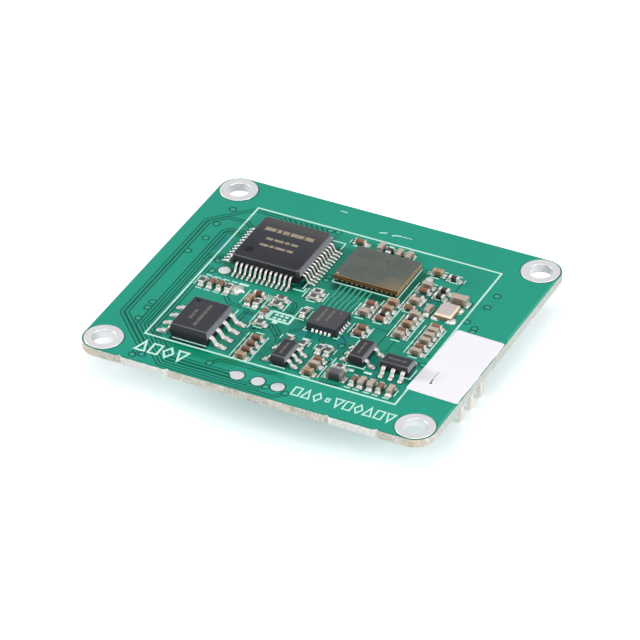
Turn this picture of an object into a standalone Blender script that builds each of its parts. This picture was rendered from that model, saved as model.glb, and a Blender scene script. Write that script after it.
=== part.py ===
# Microwave radar sensor module: one printed circuit board with its chips on top,
# standing on two pin headers. The origin is on the surface that the pin tips stand on,
# under the middle of the board. X runs along the long side, Y towards the back.
import math

import bmesh
import bpy
from mathutils import Matrix, Vector

MM = 0.001

# Board
BOARD_LENGTH = 35.0 * MM
BOARD_WIDTH = 30.0 * MM
BOARD_THICKNESS = 0.8 * MM
BOARD_CORNER_RADIUS = 2.0 * MM
CORNER_STEPS = 6

# Screw holes with their plated rims
HOLE_EDGE_DISTANCE = 2.0 * MM
SCREW_HOLE_RADIUS = 1.1 * MM
RIM_WALL = 0.1 * MM
RIM_PAD_RADIUS = 1.8 * MM
RIM_PAD_THICKNESS = 0.05 * MM
PLATING_GAP = 0.02 * MM
ROUND_STEPS = 24

# Headers under the left and right edges, soldered to the underside of the board
PIN_PITCH = 2.0 * MM
PIN_THICKNESS = 0.5 * MM
PIN_REACH = 5.2 * MM
PIN_FOOT_LENGTH = 1.85 * MM
PIN_FOOT_THICKNESS = 0.25 * MM
PIN_FOOT_JOINT = 0.05 * MM
PIN_TIP_LENGTH = 0.6 * MM
PIN_TIP_WIDTH = 0.2 * MM
PIN_TIP_BULGE = 0.7
HEADER_EDGE_DISTANCE = 2.2 * MM
HEADER_BASE_WIDTH = 2.0 * MM
HEADER_BASE_HEIGHT = 1.5 * MM
HEADER_NOTCH = 0.3 * MM
HEADER_GAP = 0.03 * MM
RIGHT_HEADER_Y = -1.5 * MM
RIGHT_HEADER_PINS = 3
LEFT_HEADER_Y = 0.0 * MM
LEFT_HEADER_PINS = 6

# Everything soldered to the board stands this far above or below its face
SOLDER_GAP = 0.03 * MM

# Blank sticker in the strip between the chips and the right edge
LABEL_LEFT_EDGE = 12.3 * MM
LABEL_EDGE_MARGIN = 0.05 * MM
LABEL_LENGTH = 9.9 * MM
LABEL_Y = -3.55 * MM
LABEL_TURN = math.radians(-2.05)
LABEL_THICKNESS = 0.08 * MM
LABEL_CORNER_RADIUS = 0.4 * MM

# Chips with moulded bodies and gull-wing leads: place on the board, length along X and
# width along Y, top above the board's face, then the leads' pitch, section and reach.
MOULD_DRAFT = 0.12 * MM
BODY_LIFT = 0.1 * MM
PARTING_SHARE = 0.5
LEAD_ROOT = 0.15 * MM

MICROCONTROLLER = {
    "x": -6.8 * MM,
    "y": 5.0 * MM,
    "length": 7.0 * MM,
    "width": 7.0 * MM,
    "top": 1.5 * MM,
    "chamfer": 0.3 * MM,
    "lead_pitch": 0.5 * MM,
    "lead_width": 0.22 * MM,
    "lead_thickness": 0.13 * MM,
    "lead_shoulder": 0.25 * MM,
    "lead_foot": 0.45 * MM,
    "lead_reach": 1.0 * MM,
    "lead_rows": {0: range(12), 90: range(12), 180: range(12), 270: range(12)},
    "lead_slots": 12,
}

FLASH_CHIP = {
    "x": -8.275 * MM,
    "y": -8.0 * MM,
    "length": 3.9 * MM,
    "width": 4.9 * MM,
    "top": 1.5 * MM,
    "chamfer": 0.0,
    "lead_pitch": 1.27 * MM,
    "lead_width": 0.42 * MM,
    "lead_thickness": 0.2 * MM,
    "lead_shoulder": 0.25 * MM,
    "lead_foot": 0.45 * MM,
    "lead_reach": 1.05 * MM,
    "lead_rows": {0: range(4), 180: range(4)},
    "lead_slots": 4,
}

REGULATOR_LENGTH = 2.9 * MM
REGULATOR_WIDTH = 1.6 * MM
REGULATOR_TOP = 1.1 * MM
REGULATOR_LEAD_PITCH = 0.95 * MM
REGULATOR_LEAD_WIDTH = 0.4 * MM
REGULATOR_LEAD_THICKNESS = 0.15 * MM
REGULATOR_LEAD_SHOULDER = 0.19 * MM
REGULATOR_LEAD_FOOT = 0.34 * MM
REGULATOR_LEAD_REACH = 0.75 * MM
# Place of each regulator and how far it is turned from lying along X with its
# three-lead side at the front
REGULATORS = {
    "regulator_1": {"x": 0.58 * MM, "y": -8.85 * MM, "turned": 90},
    "regulator_2": {"x": 6.8 * MM, "y": -5.9 * MM, "turned": -90},
    "regulator_3": {"x": 10.45 * MM, "y": -6.2 * MM, "turned": 0},
}

# Radar chip: bare laminate on rings of solder balls
RADAR_X = 2.4 * MM
RADAR_Y = 6.15 * MM
RADAR_LENGTH = 6.5 * MM
RADAR_WIDTH = 5.0 * MM
RADAR_TOP = 0.78 * MM
RADAR_LAMINATE = 0.5 * MM
BALL_PITCH = 0.5 * MM
BALL_RADIUS = 0.14 * MM
BALL_EDGE_DISTANCE = 0.25 * MM
BALL_SINK = 0.05 * MM
BALL_SIDES = 8

# Power chip: flat body with contacts along its lower edge
POWER_X = 1.8 * MM
POWER_Y = -2.6 * MM
POWER_SIDE = 3.0 * MM
POWER_HEIGHT = 0.75 * MM
POWER_CONTACT_PITCH = 0.42 * MM
POWER_CONTACT_WIDTH = 0.22 * MM
POWER_CONTACT_HEIGHT = 0.2 * MM
POWER_CONTACT_PROUD = 0.04 * MM
POWER_CONTACTS_A_SIDE = 5

# Crystal: ceramic tray with a metal lid
CRYSTAL_X = 10.77 * MM
CRYSTAL_Y = 3.3 * MM
CRYSTAL_LENGTH = 1.7 * MM
CRYSTAL_WIDTH = 2.15 * MM
CRYSTAL_TRAY_HEIGHT = 0.5 * MM
CRYSTAL_LID_HEIGHT = 0.12 * MM
CRYSTAL_LID_INSET = 0.1 * MM

# Small two-terminal parts: length, width and height of each kind, the length of its
# metal ends, and whether it is a node of its own or part of the board's solid
SMALL_LENGTH = 1.0 * MM
SMALL_WIDTH = 0.5 * MM
LARGE_LENGTH = 1.6 * MM
LARGE_WIDTH = 0.8 * MM
END_SHARE = 0.25
END_STEP = 0.02 * MM
FUSED_SINK = 0.2 * MM
KINDS = {
    "tan_capacitor": {"size": (SMALL_LENGTH, SMALL_WIDTH, 0.55 * MM), "own_node": True},
    "round_capacitor": {"size": (SMALL_LENGTH, SMALL_WIDTH, 0.5 * MM), "own_node": True},
    "large_capacitor": {"size": (LARGE_LENGTH, LARGE_WIDTH, 0.8 * MM), "own_node": True},
    "inductor": {"size": (SMALL_LENGTH, SMALL_WIDTH, 0.5 * MM), "own_node": True},
    "ferrite_bead": {"size": (LARGE_LENGTH, LARGE_WIDTH, 0.8 * MM), "own_node": True},
    "brown_capacitor": {"size": (SMALL_LENGTH, SMALL_WIDTH, 0.5 * MM), "own_node": False},
    "resistor": {"size": (SMALL_LENGTH, SMALL_WIDTH, 0.35 * MM), "own_node": False},
}

# Columns hold parts that lie along X: the column's x, then each part's y in mm.
COLUMNS = [
    (-5.83, [(-1.37, "round_capacitor")]),
    (-3.77, [(-1.1, "resistor"), (-2.08, "resistor"), (-5.28, "resistor")]),
    (-2.96, [(-7.42, "brown_capacitor"), (-8.42, "brown_capacitor"), (-9.37, "brown_capacitor"),
             (-10.48, "tan_capacitor")]),
    (-1.25, [(9.98, "brown_capacitor"), (1.22, "resistor"), (0.37, "resistor")]),
    (3.55, [(-8.02, "brown_capacitor"), (-8.88, "tan_capacitor"), (-10.08, "tan_capacitor")]),
    (3.98, [(1.68, "brown_capacitor"), (0.95, "resistor"), (0.07, "tan_capacitor")]),
    (4.92, [(-2.02, "brown_capacitor"), (-2.92, "brown_capacitor")]),
    (5.72, [(2.58, "tan_capacitor"), (1.47, "tan_capacitor"), (0.58, "inductor"),
            (-0.12, "brown_capacitor"), (-8.18, "resistor")]),
    (6.02, [(-9.59, "ferrite_bead")]),
    (7.36, [(8.53, "tan_capacitor"), (6.33, "tan_capacitor"), (5.48, "brown_capacitor"),
            (4.32, "resistor"), (3.62, "tan_capacitor"), (2.53, "brown_capacitor")]),
    (8.32, [(1.68, "tan_capacitor"), (0.87, "inductor"), (0.12, "tan_capacitor"),
            (-0.9, "brown_capacitor"), (-1.63, "tan_capacitor")]),
    (9.07, [(8.28, "inductor"), (6.18, "inductor"), (5.18, "inductor")]),
    (10.84, [(0.9, "brown_capacitor"), (0.17, "tan_capacitor"), (-0.68, "tan_capacitor"),
             (-1.53, "tan_capacitor"), (-2.47, "brown_capacitor"), (-3.33, "tan_capacitor")]),
    (11.02, [(5.31, "large_capacitor")]),
]

# Rows hold parts that lie along Y: the row's y, then each part's x in mm.
ROWS = [
    (-1.6, [(-11.5, "resistor"), (-10.6, "brown_capacitor"), (-9.7, "brown_capacitor"),
            (-8.85, "resistor")]),
    (-2.55, [(-6.24, "tan_capacitor"), (-5.45, "resistor")]),
    (-3.72, [(-4.18, "brown_capacitor")]),
    (-2.05, [(-0.92, "resistor")]),
    (9.92, [(0.91, "tan_capacitor")]),
    (9.68, [(1.87, "inductor"), (2.86, "tan_capacitor"), (3.86, "tan_capacitor")]),
    (2.92, [(9.06, "tan_capacitor")]),
    (-6.45, [(-0.27, "resistor"), (1.18, "resistor"), (2.88, "resistor"), (3.73, "resistor")]),
    (-9.45, [(7.72, "brown_capacitor"), (8.56, "tan_capacitor"), (9.46, "tan_capacitor"),
             (10.32, "brown_capacitor"), (11.36, "tan_capacitor")]),
]

# Colour, roughness and metallic value of each finish
FINISHES = {
    "solder_mask": ((0.03, 0.33, 0.22), 0.35, 0.0),
    "tin": ((0.75, 0.76, 0.78), 0.25, 1.0),
    "moulding": ((0.06, 0.06, 0.07), 0.6, 0.0),
    "laminate": ((0.13, 0.14, 0.12), 0.45, 0.0),
    "lid_metal": ((0.65, 0.58, 0.56), 0.35, 1.0),
    "tan_ceramic": ((0.42, 0.35, 0.29), 0.5, 0.0),
    "brown_ceramic": ((0.2, 0.09, 0.05), 0.5, 0.0),
    "black_ceramic": ((0.02, 0.02, 0.02), 0.4, 0.0),
    "paper": ((0.9, 0.9, 0.92), 0.6, 0.0),
    "pin_metal": ((0.62, 0.56, 0.52), 0.3, 1.0),
    "header_plastic": ((0.03, 0.03, 0.03), 0.5, 0.0),
}
KIND_FINISH = {
    "tan_capacitor": "tan_ceramic",
    "round_capacitor": "brown_ceramic",
    "large_capacitor": "tan_ceramic",
    "inductor": "black_ceramic",
    "ferrite_bead": "black_ceramic",
}

BOARD_BOTTOM = PIN_REACH
BOARD_TOP = BOARD_BOTTOM + BOARD_THICKNESS
SEAT = BOARD_TOP + SOLDER_GAP


def clear_scene():
    for scene_object in list(bpy.data.objects):
        bpy.data.objects.remove(scene_object, do_unlink=True)


def make_materials():
    made = {}
    for name, (colour, roughness, metallic) in FINISHES.items():
        material = bpy.data.materials.new(name)
        material.use_nodes = True
        shader = material.node_tree.nodes["Principled BSDF"]
        shader.inputs["Base Color"].default_value = (*colour, 1.0)
        shader.inputs["Roughness"].default_value = roughness
        shader.inputs["Metallic"].default_value = metallic
        made[name] = material
    return made


def add_object(name, bm, material):
    """Turn a bmesh into a named object with one material."""
    bmesh.ops.recalc_face_normals(bm, faces=bm.faces)
    mesh = bpy.data.meshes.new(name)
    bm.to_mesh(mesh)
    bm.free()
    mesh.materials.append(material)
    made = bpy.data.objects.new(name, mesh)
    bpy.context.scene.collection.objects.link(made)
    return made


def combine(target, tool, operation):
    """Join a tool to the target, or cut it away, and drop the tool."""
    modifier = target.modifiers.new("combine", "BOOLEAN")
    modifier.operation = operation
    modifier.solver = "EXACT"
    modifier.object = tool
    graph = bpy.context.evaluated_depsgraph_get()
    result = bpy.data.meshes.new_from_object(target.evaluated_get(graph))
    target.modifiers.clear()
    target.data = result
    bpy.data.objects.remove(tool, do_unlink=True)


def loft(bm, rings):
    """Close a row of equal rings of points into one solid with flat ends."""
    loops = [[bm.verts.new(point) for point in ring] for ring in rings]
    count = len(loops[0])
    for lower, upper in zip(loops, loops[1:]):
        for i in range(count):
            j = (i + 1) % count
            bm.faces.new((lower[i], lower[j], upper[j], upper[i]))
    bm.faces.new(loops[0])
    bm.faces.new(loops[-1])


def rectangle(length, width, z, centre=(0.0, 0.0), chamfer=0.0):
    """Corner points of a rectangle at height z, with cut corners if asked."""
    half_x, half_y = length / 2, width / 2
    if chamfer == 0.0:
        corners = [(-half_x, -half_y), (half_x, -half_y), (half_x, half_y), (-half_x, half_y)]
    else:
        corners = []
        for sign_x, sign_y in ((-1, -1), (1, -1), (1, 1), (-1, 1)):
            pair = [(sign_x * (half_x - chamfer), sign_y * half_y),
                    (sign_x * half_x, sign_y * (half_y - chamfer))]
            corners += pair if sign_x * sign_y < 0 else pair[::-1]
    return [Vector((centre[0] + x, centre[1] + y, z)) for x, y in corners]


def rounded_rectangle(length, width, radius, z):
    """Outline of a rectangle with round corners at height z."""
    points = []
    for quarter, (sign_x, sign_y) in enumerate(((1, 1), (-1, 1), (-1, -1), (1, -1))):
        for step in range(CORNER_STEPS + 1):
            angle = math.radians(90 * (quarter + step / CORNER_STEPS))
            points.append(Vector((sign_x * (length / 2 - radius) + radius * math.cos(angle),
                                  sign_y * (width / 2 - radius) + radius * math.sin(angle), z)))
    return points


def circle(radius, z, sides, centre):
    """Points of a circle at height z."""
    return [Vector((centre[0] + radius * math.cos(math.tau * i / sides),
                    centre[1] + radius * math.sin(math.tau * i / sides), z)) for i in range(sides)]


def screw_hole_centres():
    """The four screw holes, named by their corner."""
    x = BOARD_LENGTH / 2 - HOLE_EDGE_DISTANCE
    y = BOARD_WIDTH / 2 - HOLE_EDGE_DISTANCE
    return {"front_left": (-x, -y), "front_right": (x, -y), "back_left": (-x, y), "back_right": (x, y)}


def small_parts():
    """Every two-terminal part as its kind, place and the axis that it lies along."""
    parts = [(kind, (x * MM, y * MM), "X") for x, column in COLUMNS for y, kind in column]
    parts += [(kind, (x * MM, y * MM), "Y") for y, row in ROWS for x, kind in row]
    return parts


def small_part_rings(size, axis, centre):
    """Rings of a bar with a slightly thicker metal end at each side."""
    length, width, height = size
    end = length * END_SHARE
    stations = [(-length / 2, 0.0), (-length / 2 + end, 0.0), (-length / 2 + end, END_STEP),
                (length / 2 - end, END_STEP), (length / 2 - end, 0.0), (length / 2, 0.0)]
    turn = Matrix.Rotation(math.pi / 2 if axis == "Y" else 0.0, 4, "Z")
    place = Matrix.Translation((centre[0], centre[1], 0.0))
    rings = []
    for along, inset in stations:
        side = width / 2 - inset
        low, high = SEAT + inset, BOARD_TOP + height - inset
        corners = [(-side, low), (side, low), (side, high), (-side, high)]
        rings.append([place @ turn @ Vector((along, y, z)) for y, z in corners])
    return rings


def make_board(material):
    """The board with its corner holes and the small parts that share its solid."""
    bm = bmesh.new()
    loft(bm, [rounded_rectangle(BOARD_LENGTH, BOARD_WIDTH, BOARD_CORNER_RADIUS, z)
              for z in (BOARD_BOTTOM, BOARD_TOP)])
    board = add_object("circuit_board", bm, material)

    bm = bmesh.new()
    hole_radius = SCREW_HOLE_RADIUS + RIM_WALL + PLATING_GAP
    for centre in screw_hole_centres().values():
        loft(bm, [circle(hole_radius, z, ROUND_STEPS, centre)
                  for z in (BOARD_BOTTOM - BOARD_THICKNESS, BOARD_TOP + BOARD_THICKNESS)])
    combine(board, add_object("board_holes", bm, material), "DIFFERENCE")

    bm = bmesh.new()
    for kind, centre, axis in small_parts():
        if not KINDS[kind]["own_node"]:
            length, width, height = KINDS[kind]["size"]
            sides = (length, width) if axis == "X" else (width, length)
            loft(bm, [rectangle(*sides, z, centre) for z in (BOARD_TOP - FUSED_SINK, BOARD_TOP + height)])
    combine(board, add_object("fused_parts", bm, material), "UNION")
    return board


def make_hole_rims(material):
    """Plated rims: a thin barrel through the board with a ring pad at each end."""
    low, high = BOARD_BOTTOM - PLATING_GAP, BOARD_TOP + PLATING_GAP
    barrel = SCREW_HOLE_RADIUS + RIM_WALL
    profile = [(SCREW_HOLE_RADIUS, low - RIM_PAD_THICKNESS), (RIM_PAD_RADIUS, low - RIM_PAD_THICKNESS),
               (RIM_PAD_RADIUS, low), (barrel, low), (barrel, high), (RIM_PAD_RADIUS, high),
               (RIM_PAD_RADIUS, high + RIM_PAD_THICKNESS), (SCREW_HOLE_RADIUS, high + RIM_PAD_THICKNESS)]
    for corner, (x, y) in screw_hole_centres().items():
        bm = bmesh.new()
        loops = []
        for i in range(ROUND_STEPS):
            angle = math.tau * i / ROUND_STEPS
            loops.append([bm.verts.new((x + r * math.cos(angle), y + r * math.sin(angle), z))
                          for r, z in profile])
        for i, loop in enumerate(loops):
            following = loops[(i + 1) % ROUND_STEPS]
            for k in range(len(profile)):
                m = (k + 1) % len(profile)
                bm.faces.new((loop[k], loop[m], following[m], following[k]))
        add_object("hole_rim_" + corner, bm, material)


def offset_path(points, half):
    """Outline of a strip of even thickness along a bent path."""
    upper, lower = [], []
    for i, point in enumerate(points):
        before = (point - points[i - 1]).normalized() if i > 0 else None
        after = (points[i + 1] - point).normalized() if i < len(points) - 1 else None
        first, second = before or after, after or before
        normals = [Vector((-step.y, step.x)) for step in (first, second)]
        mitre = (normals[0] + normals[1]).normalized()
        reach = half / mitre.dot(normals[0])
        upper.append(point + mitre * reach)
        lower.append(point - mitre * reach)
    return upper + lower[::-1]


def parting_height(chip):
    """Where the two halves of a moulded body meet and its leads come out."""
    low, top = BOARD_TOP + BODY_LIFT, BOARD_TOP + chip["top"]
    return low + (top - low) * PARTING_SHARE


def add_lead(bm, chip, turn_degrees, offset, body_half):
    """One gull-wing lead: out of the body, down, and out along the board."""
    thickness = chip["lead_thickness"]
    shoulder_z = parting_height(chip)
    foot_z = SEAT + thickness / 2
    toe = body_half + chip["lead_reach"]
    path = [Vector((body_half - LEAD_ROOT - MOULD_DRAFT, shoulder_z)),
            Vector((body_half + chip["lead_shoulder"], shoulder_z)),
            Vector((toe - chip["lead_foot"], foot_z)),
            Vector((toe, foot_z))]
    outline = offset_path(path, thickness / 2)
    turn = Matrix.Rotation(math.radians(turn_degrees), 4, "Z")
    place = Matrix.Translation((chip["x"], chip["y"], 0.0))
    loft(bm, [[place @ turn @ Vector((point.x, offset + side * chip["lead_width"] / 2, point.y))
               for point in outline] for side in (-1, 1)])


def make_leaded_chip(name, chip, material):
    """A moulded body, widest at its parting line, with its leads grown on."""
    length, width = chip["length"], chip["width"]
    centre = (chip["x"], chip["y"])
    levels = ((BOARD_TOP + BODY_LIFT, MOULD_DRAFT), (parting_height(chip), 0.0),
              (BOARD_TOP + chip["top"], MOULD_DRAFT))
    bm = bmesh.new()
    loft(bm, [rectangle(length - 2 * inset, width - 2 * inset, z, centre, chip["chamfer"])
              for z, inset in levels])
    body = add_object(name, bm, material)

    bm = bmesh.new()
    middle_slot = (chip["lead_slots"] - 1) / 2
    for turn_degrees, slots in chip["lead_rows"].items():
        body_half = length / 2 if turn_degrees % 180 == 0 else width / 2
        for slot in slots:
            add_lead(bm, chip, turn_degrees, (slot - middle_slot) * chip["lead_pitch"], body_half)
    combine(body, add_object(name + "_leads", bm, material), "UNION")
    return body


def regulator(x, y, turned):
    """Sizes of one five-lead regulator: three leads on one long side, two on the other."""
    along_x = turned % 180 == 0
    return {
        "x": x,
        "y": y,
        "length": REGULATOR_LENGTH if along_x else REGULATOR_WIDTH,
        "width": REGULATOR_WIDTH if along_x else REGULATOR_LENGTH,
        "top": REGULATOR_TOP,
        "chamfer": 0.0,
        "lead_pitch": REGULATOR_LEAD_PITCH,
        "lead_width": REGULATOR_LEAD_WIDTH,
        "lead_thickness": REGULATOR_LEAD_THICKNESS,
        "lead_shoulder": REGULATOR_LEAD_SHOULDER,
        "lead_foot": REGULATOR_LEAD_FOOT,
        "lead_reach": REGULATOR_LEAD_REACH,
        "lead_rows": {(turned - 90) % 360: (0, 1, 2), (turned + 90) % 360: (0, 2)},
        "lead_slots": 3,
    }


def make_radar_chip(material):
    """A bare laminate with a ring of solder balls under its edge."""
    top = BOARD_TOP + RADAR_TOP
    underside = top - RADAR_LAMINATE
    bm = bmesh.new()
    loft(bm, [rectangle(RADAR_LENGTH, RADAR_WIDTH, z, (RADAR_X, RADAR_Y)) for z in (underside, top)])
    chip = add_object("radar_chip", bm, material)

    columns = round((RADAR_LENGTH - 2 * BALL_EDGE_DISTANCE) / BALL_PITCH)
    rows = round((RADAR_WIDTH - 2 * BALL_EDGE_DISTANCE) / BALL_PITCH)
    bm = bmesh.new()
    for i in range(columns):
        for j in range(rows):
            if i in (0, columns - 1) or j in (0, rows - 1):
                centre = (RADAR_X + (i - (columns - 1) / 2) * BALL_PITCH,
                          RADAR_Y + (j - (rows - 1) / 2) * BALL_PITCH)
                loft(bm, [circle(BALL_RADIUS, z, BALL_SIDES, centre)
                          for z in (SEAT, underside + BALL_SINK)])
    combine(chip, add_object("radar_balls", bm, material), "UNION")
    return chip


def make_power_chip(material):
    """A flat square body with contact ends showing along its lower edge."""
    bm = bmesh.new()
    loft(bm, [rectangle(POWER_SIDE, POWER_SIDE, z, (POWER_X, POWER_Y))
              for z in (SEAT + POWER_CONTACT_PROUD, BOARD_TOP + POWER_HEIGHT)])
    chip = add_object("power_chip", bm, material)

    bm = bmesh.new()
    contact_depth = POWER_CONTACT_HEIGHT + POWER_CONTACT_PROUD
    inner = POWER_SIDE / 2 - contact_depth
    outer = POWER_SIDE / 2 + POWER_CONTACT_PROUD
    middle = Matrix.Translation((POWER_X, POWER_Y, 0.0))
    for turn_degrees in (0, 90, 180, 270):
        place = middle @ Matrix.Rotation(math.radians(turn_degrees), 4, "Z")
        for i in range(POWER_CONTACTS_A_SIDE):
            offset = (i - (POWER_CONTACTS_A_SIDE - 1) / 2) * POWER_CONTACT_PITCH
            loft(bm, [[place @ point for point in
                       rectangle(outer - inner, POWER_CONTACT_WIDTH, z, ((inner + outer) / 2, offset))]
                      for z in (SEAT, SEAT + POWER_CONTACT_HEIGHT)])
    combine(chip, add_object("power_contacts", bm, material), "UNION")
    return chip


def make_crystal(material):
    """A ceramic tray with a slightly smaller metal lid, sealed as one can."""
    centre = (CRYSTAL_X, CRYSTAL_Y)
    tray_top = BOARD_TOP + CRYSTAL_TRAY_HEIGHT
    lid_length = CRYSTAL_LENGTH - 2 * CRYSTAL_LID_INSET
    lid_width = CRYSTAL_WIDTH - 2 * CRYSTAL_LID_INSET
    bm = bmesh.new()
    loft(bm, [rectangle(CRYSTAL_LENGTH, CRYSTAL_WIDTH, SEAT, centre),
              rectangle(CRYSTAL_LENGTH, CRYSTAL_WIDTH, tray_top, centre),
              rectangle(lid_length, lid_width, tray_top, centre),
              rectangle(lid_length, lid_width, tray_top + CRYSTAL_LID_HEIGHT, centre)])
    return add_object("crystal", bm, material)


def make_small_parts(materials):
    """The two-terminal parts that are nodes of their own, numbered within their kind."""
    numbers = {}
    for kind, centre, axis in small_parts():
        if KINDS[kind]["own_node"]:
            numbers[kind] = numbers.get(kind, 0) + 1
            bm = bmesh.new()
            loft(bm, small_part_rings(KINDS[kind]["size"], axis, centre))
            add_object(f"{kind}_{numbers[kind]}", bm, materials[KIND_FINISH[kind]])


def make_label(material):
    """The sticker fills the strip beside the chips, turned a little."""
    right_edge = BOARD_LENGTH / 2 - LABEL_EDGE_MARGIN
    sweep = LABEL_LENGTH * abs(math.sin(LABEL_TURN))
    width = (right_edge - LABEL_LEFT_EDGE - sweep) / math.cos(LABEL_TURN)
    place = Matrix.Translation(((LABEL_LEFT_EDGE + right_edge) / 2, LABEL_Y, SEAT))
    turn = Matrix.Rotation(LABEL_TURN, 4, "Z")
    bm = bmesh.new()
    loft(bm, [[place @ turn @ point for point in
               rounded_rectangle(width, LABEL_LENGTH, LABEL_CORNER_RADIUS, z)]
              for z in (0.0, LABEL_THICKNESS)])
    return add_object("label", bm, material)


def header_base_outline(pins, z):
    """Outline of a header base: one cell for each pin, with a notch between cells."""
    half = HEADER_BASE_WIDTH / 2
    right, left = [], []
    for i in range(pins):
        start = (i - pins / 2) * PIN_PITCH
        end = start + PIN_PITCH
        right += [(half - HEADER_NOTCH, start), (half, start + HEADER_NOTCH), (half, end - HEADER_NOTCH)]
        left += [(-half + HEADER_NOTCH, start), (-half, start + HEADER_NOTCH), (-half, end - HEADER_NOTCH)]
    end = pins / 2 * PIN_PITCH
    right.append((half - HEADER_NOTCH, end))
    left.append((-half + HEADER_NOTCH, end))
    return [Vector((x, y, z)) for x, y in right + left[::-1]]


def make_header(side, x, y, pins, materials):
    """A plastic base under the board and its pins, each bent over into a soldered foot."""
    foot_top = BOARD_BOTTOM - SOLDER_GAP
    foot_low = foot_top - PIN_FOOT_THICKNESS
    base_top = foot_low - HEADER_GAP
    place = Matrix.Translation((x, y, 0.0))
    bm = bmesh.new()
    loft(bm, [[place @ point for point in header_base_outline(pins, z)]
              for z in (base_top - HEADER_BASE_HEIGHT, base_top)])
    base = add_object(f"{side}_header_base", bm, materials["header_plastic"])

    bm = bmesh.new()
    hole_side = PIN_THICKNESS + 2 * HEADER_GAP
    for i in range(pins):
        offset = (i - (pins - 1) / 2) * PIN_PITCH
        loft(bm, [rectangle(hole_side, hole_side, z, (x, y + offset))
                  for z in (base_top - 2 * HEADER_BASE_HEIGHT, base_top + HEADER_BASE_HEIGHT)])
    combine(base, add_object("pin_holes", bm, materials["header_plastic"]), "DIFFERENCE")

    for i in range(pins):
        offset = (i - (pins - 1) / 2) * PIN_PITCH
        make_pin(f"{side}_header_pin_{i + 1}", (x, y + offset), 1 if i % 2 == 0 else -1,
                 foot_low, foot_top, materials["pin_metal"])


def make_pin(name, centre, foot_direction, foot_low, foot_top, material):
    """A square pin with a pointed tip at the bottom and a flat foot at the top."""
    half = PIN_THICKNESS / 2
    waist = PIN_TIP_WIDTH + PIN_TIP_BULGE * (PIN_THICKNESS - PIN_TIP_WIDTH)
    widths = [(0.0, PIN_TIP_WIDTH), (PIN_TIP_LENGTH / 2, waist), (PIN_TIP_LENGTH, PIN_THICKNESS),
              (foot_low, PIN_THICKNESS)]
    bm = bmesh.new()
    loft(bm, [rectangle(width, width, z, centre) for z, width in widths])
    pin = add_object(name, bm, material)

    bm = bmesh.new()
    foot_length = half + PIN_FOOT_LENGTH
    foot_centre = (centre[0] + foot_direction * (PIN_FOOT_LENGTH - half) / 2, centre[1])
    loft(bm, [rectangle(foot_length, PIN_THICKNESS, z, foot_centre)
              for z in (foot_low - PIN_FOOT_JOINT, foot_top)])
    combine(pin, add_object(name + "_foot", bm, material), "UNION")
    return pin


def main():
    clear_scene()
    materials = make_materials()
    make_board(materials["solder_mask"])
    make_hole_rims(materials["tin"])
    make_leaded_chip("microcontroller", MICROCONTROLLER, materials["moulding"])
    make_radar_chip(materials["laminate"])
    make_leaded_chip("flash_chip", FLASH_CHIP, materials["moulding"])
    make_power_chip(materials["moulding"])
    for name, placing in REGULATORS.items():
        make_leaded_chip(name, regulator(**placing), materials["moulding"])
    make_crystal(materials["lid_metal"])
    make_small_parts(materials)
    make_label(materials["paper"])
    header_x = BOARD_LENGTH / 2 - HEADER_EDGE_DISTANCE
    make_header("right", header_x, RIGHT_HEADER_Y, RIGHT_HEADER_PINS, materials)
    make_header("left", -header_x, LEFT_HEADER_Y, LEFT_HEADER_PINS, materials)


main()
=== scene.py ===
import bmesh
import bpy
import math
import numpy as np
from mathutils import Matrix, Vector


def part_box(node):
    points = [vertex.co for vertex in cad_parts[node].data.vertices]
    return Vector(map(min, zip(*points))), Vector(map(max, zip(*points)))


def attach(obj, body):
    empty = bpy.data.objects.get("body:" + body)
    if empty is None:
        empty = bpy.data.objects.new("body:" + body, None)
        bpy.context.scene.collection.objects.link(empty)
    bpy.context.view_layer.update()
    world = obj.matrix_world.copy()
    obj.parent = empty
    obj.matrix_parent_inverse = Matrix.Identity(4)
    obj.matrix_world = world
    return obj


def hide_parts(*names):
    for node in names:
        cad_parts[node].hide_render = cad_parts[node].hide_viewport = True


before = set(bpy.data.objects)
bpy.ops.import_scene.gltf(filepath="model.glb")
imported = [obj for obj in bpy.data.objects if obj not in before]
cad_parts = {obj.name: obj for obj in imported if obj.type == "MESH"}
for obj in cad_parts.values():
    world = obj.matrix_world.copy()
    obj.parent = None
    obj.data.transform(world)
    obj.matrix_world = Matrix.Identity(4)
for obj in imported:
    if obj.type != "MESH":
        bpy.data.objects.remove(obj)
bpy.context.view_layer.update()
mm = 0.001  # every size below is in millimetres, and makePiece turns it into metres
chance = np.random.default_rng(24)

board = {
    "bottom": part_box("circuit_board")[0].z / mm,
    "thickness": 0.8,
    "length": (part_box("circuit_board")[1].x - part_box("circuit_board")[0].x) / mm,
    "width": (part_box("circuit_board")[1].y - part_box("circuit_board")[0].y) / mm,
    "corner": 2.0,
    "holeRadius": 1.2,
    "holeFromEdge": 2.0,
    "edgeRound": 0.04,
    "edgeRoughness": 0.035,
    "edgeStep": 0.13,
    "rimWidth": 0.4,
    "tabFrom": 7.95,
    "tabTo": 12.75,
    "tabOut": 0.09,
    "notch": 0.2,
    "notchWidth": 0.16,
    "notchLean": 0.12,
    "fibre": 0.55,
    "fibreWaves": [(0.25, 19, 0), (0.2, 43, 1)],
    "skin": 0.15,
    "clothWaves": [((7.1, 0), 9), ((0, 8.3), 5), ((3.1, 3.1), 0)],
}
top = board["bottom"] + board["thickness"]
boardMiddle = board["bottom"] + board["thickness"] / 2
print("frame loaded:", len(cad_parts), "nodes, board top at", round(top, 3), "mm")


# Shapes. A shape is its points and its faces, and a point is x, y, z in millimetres.

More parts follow.
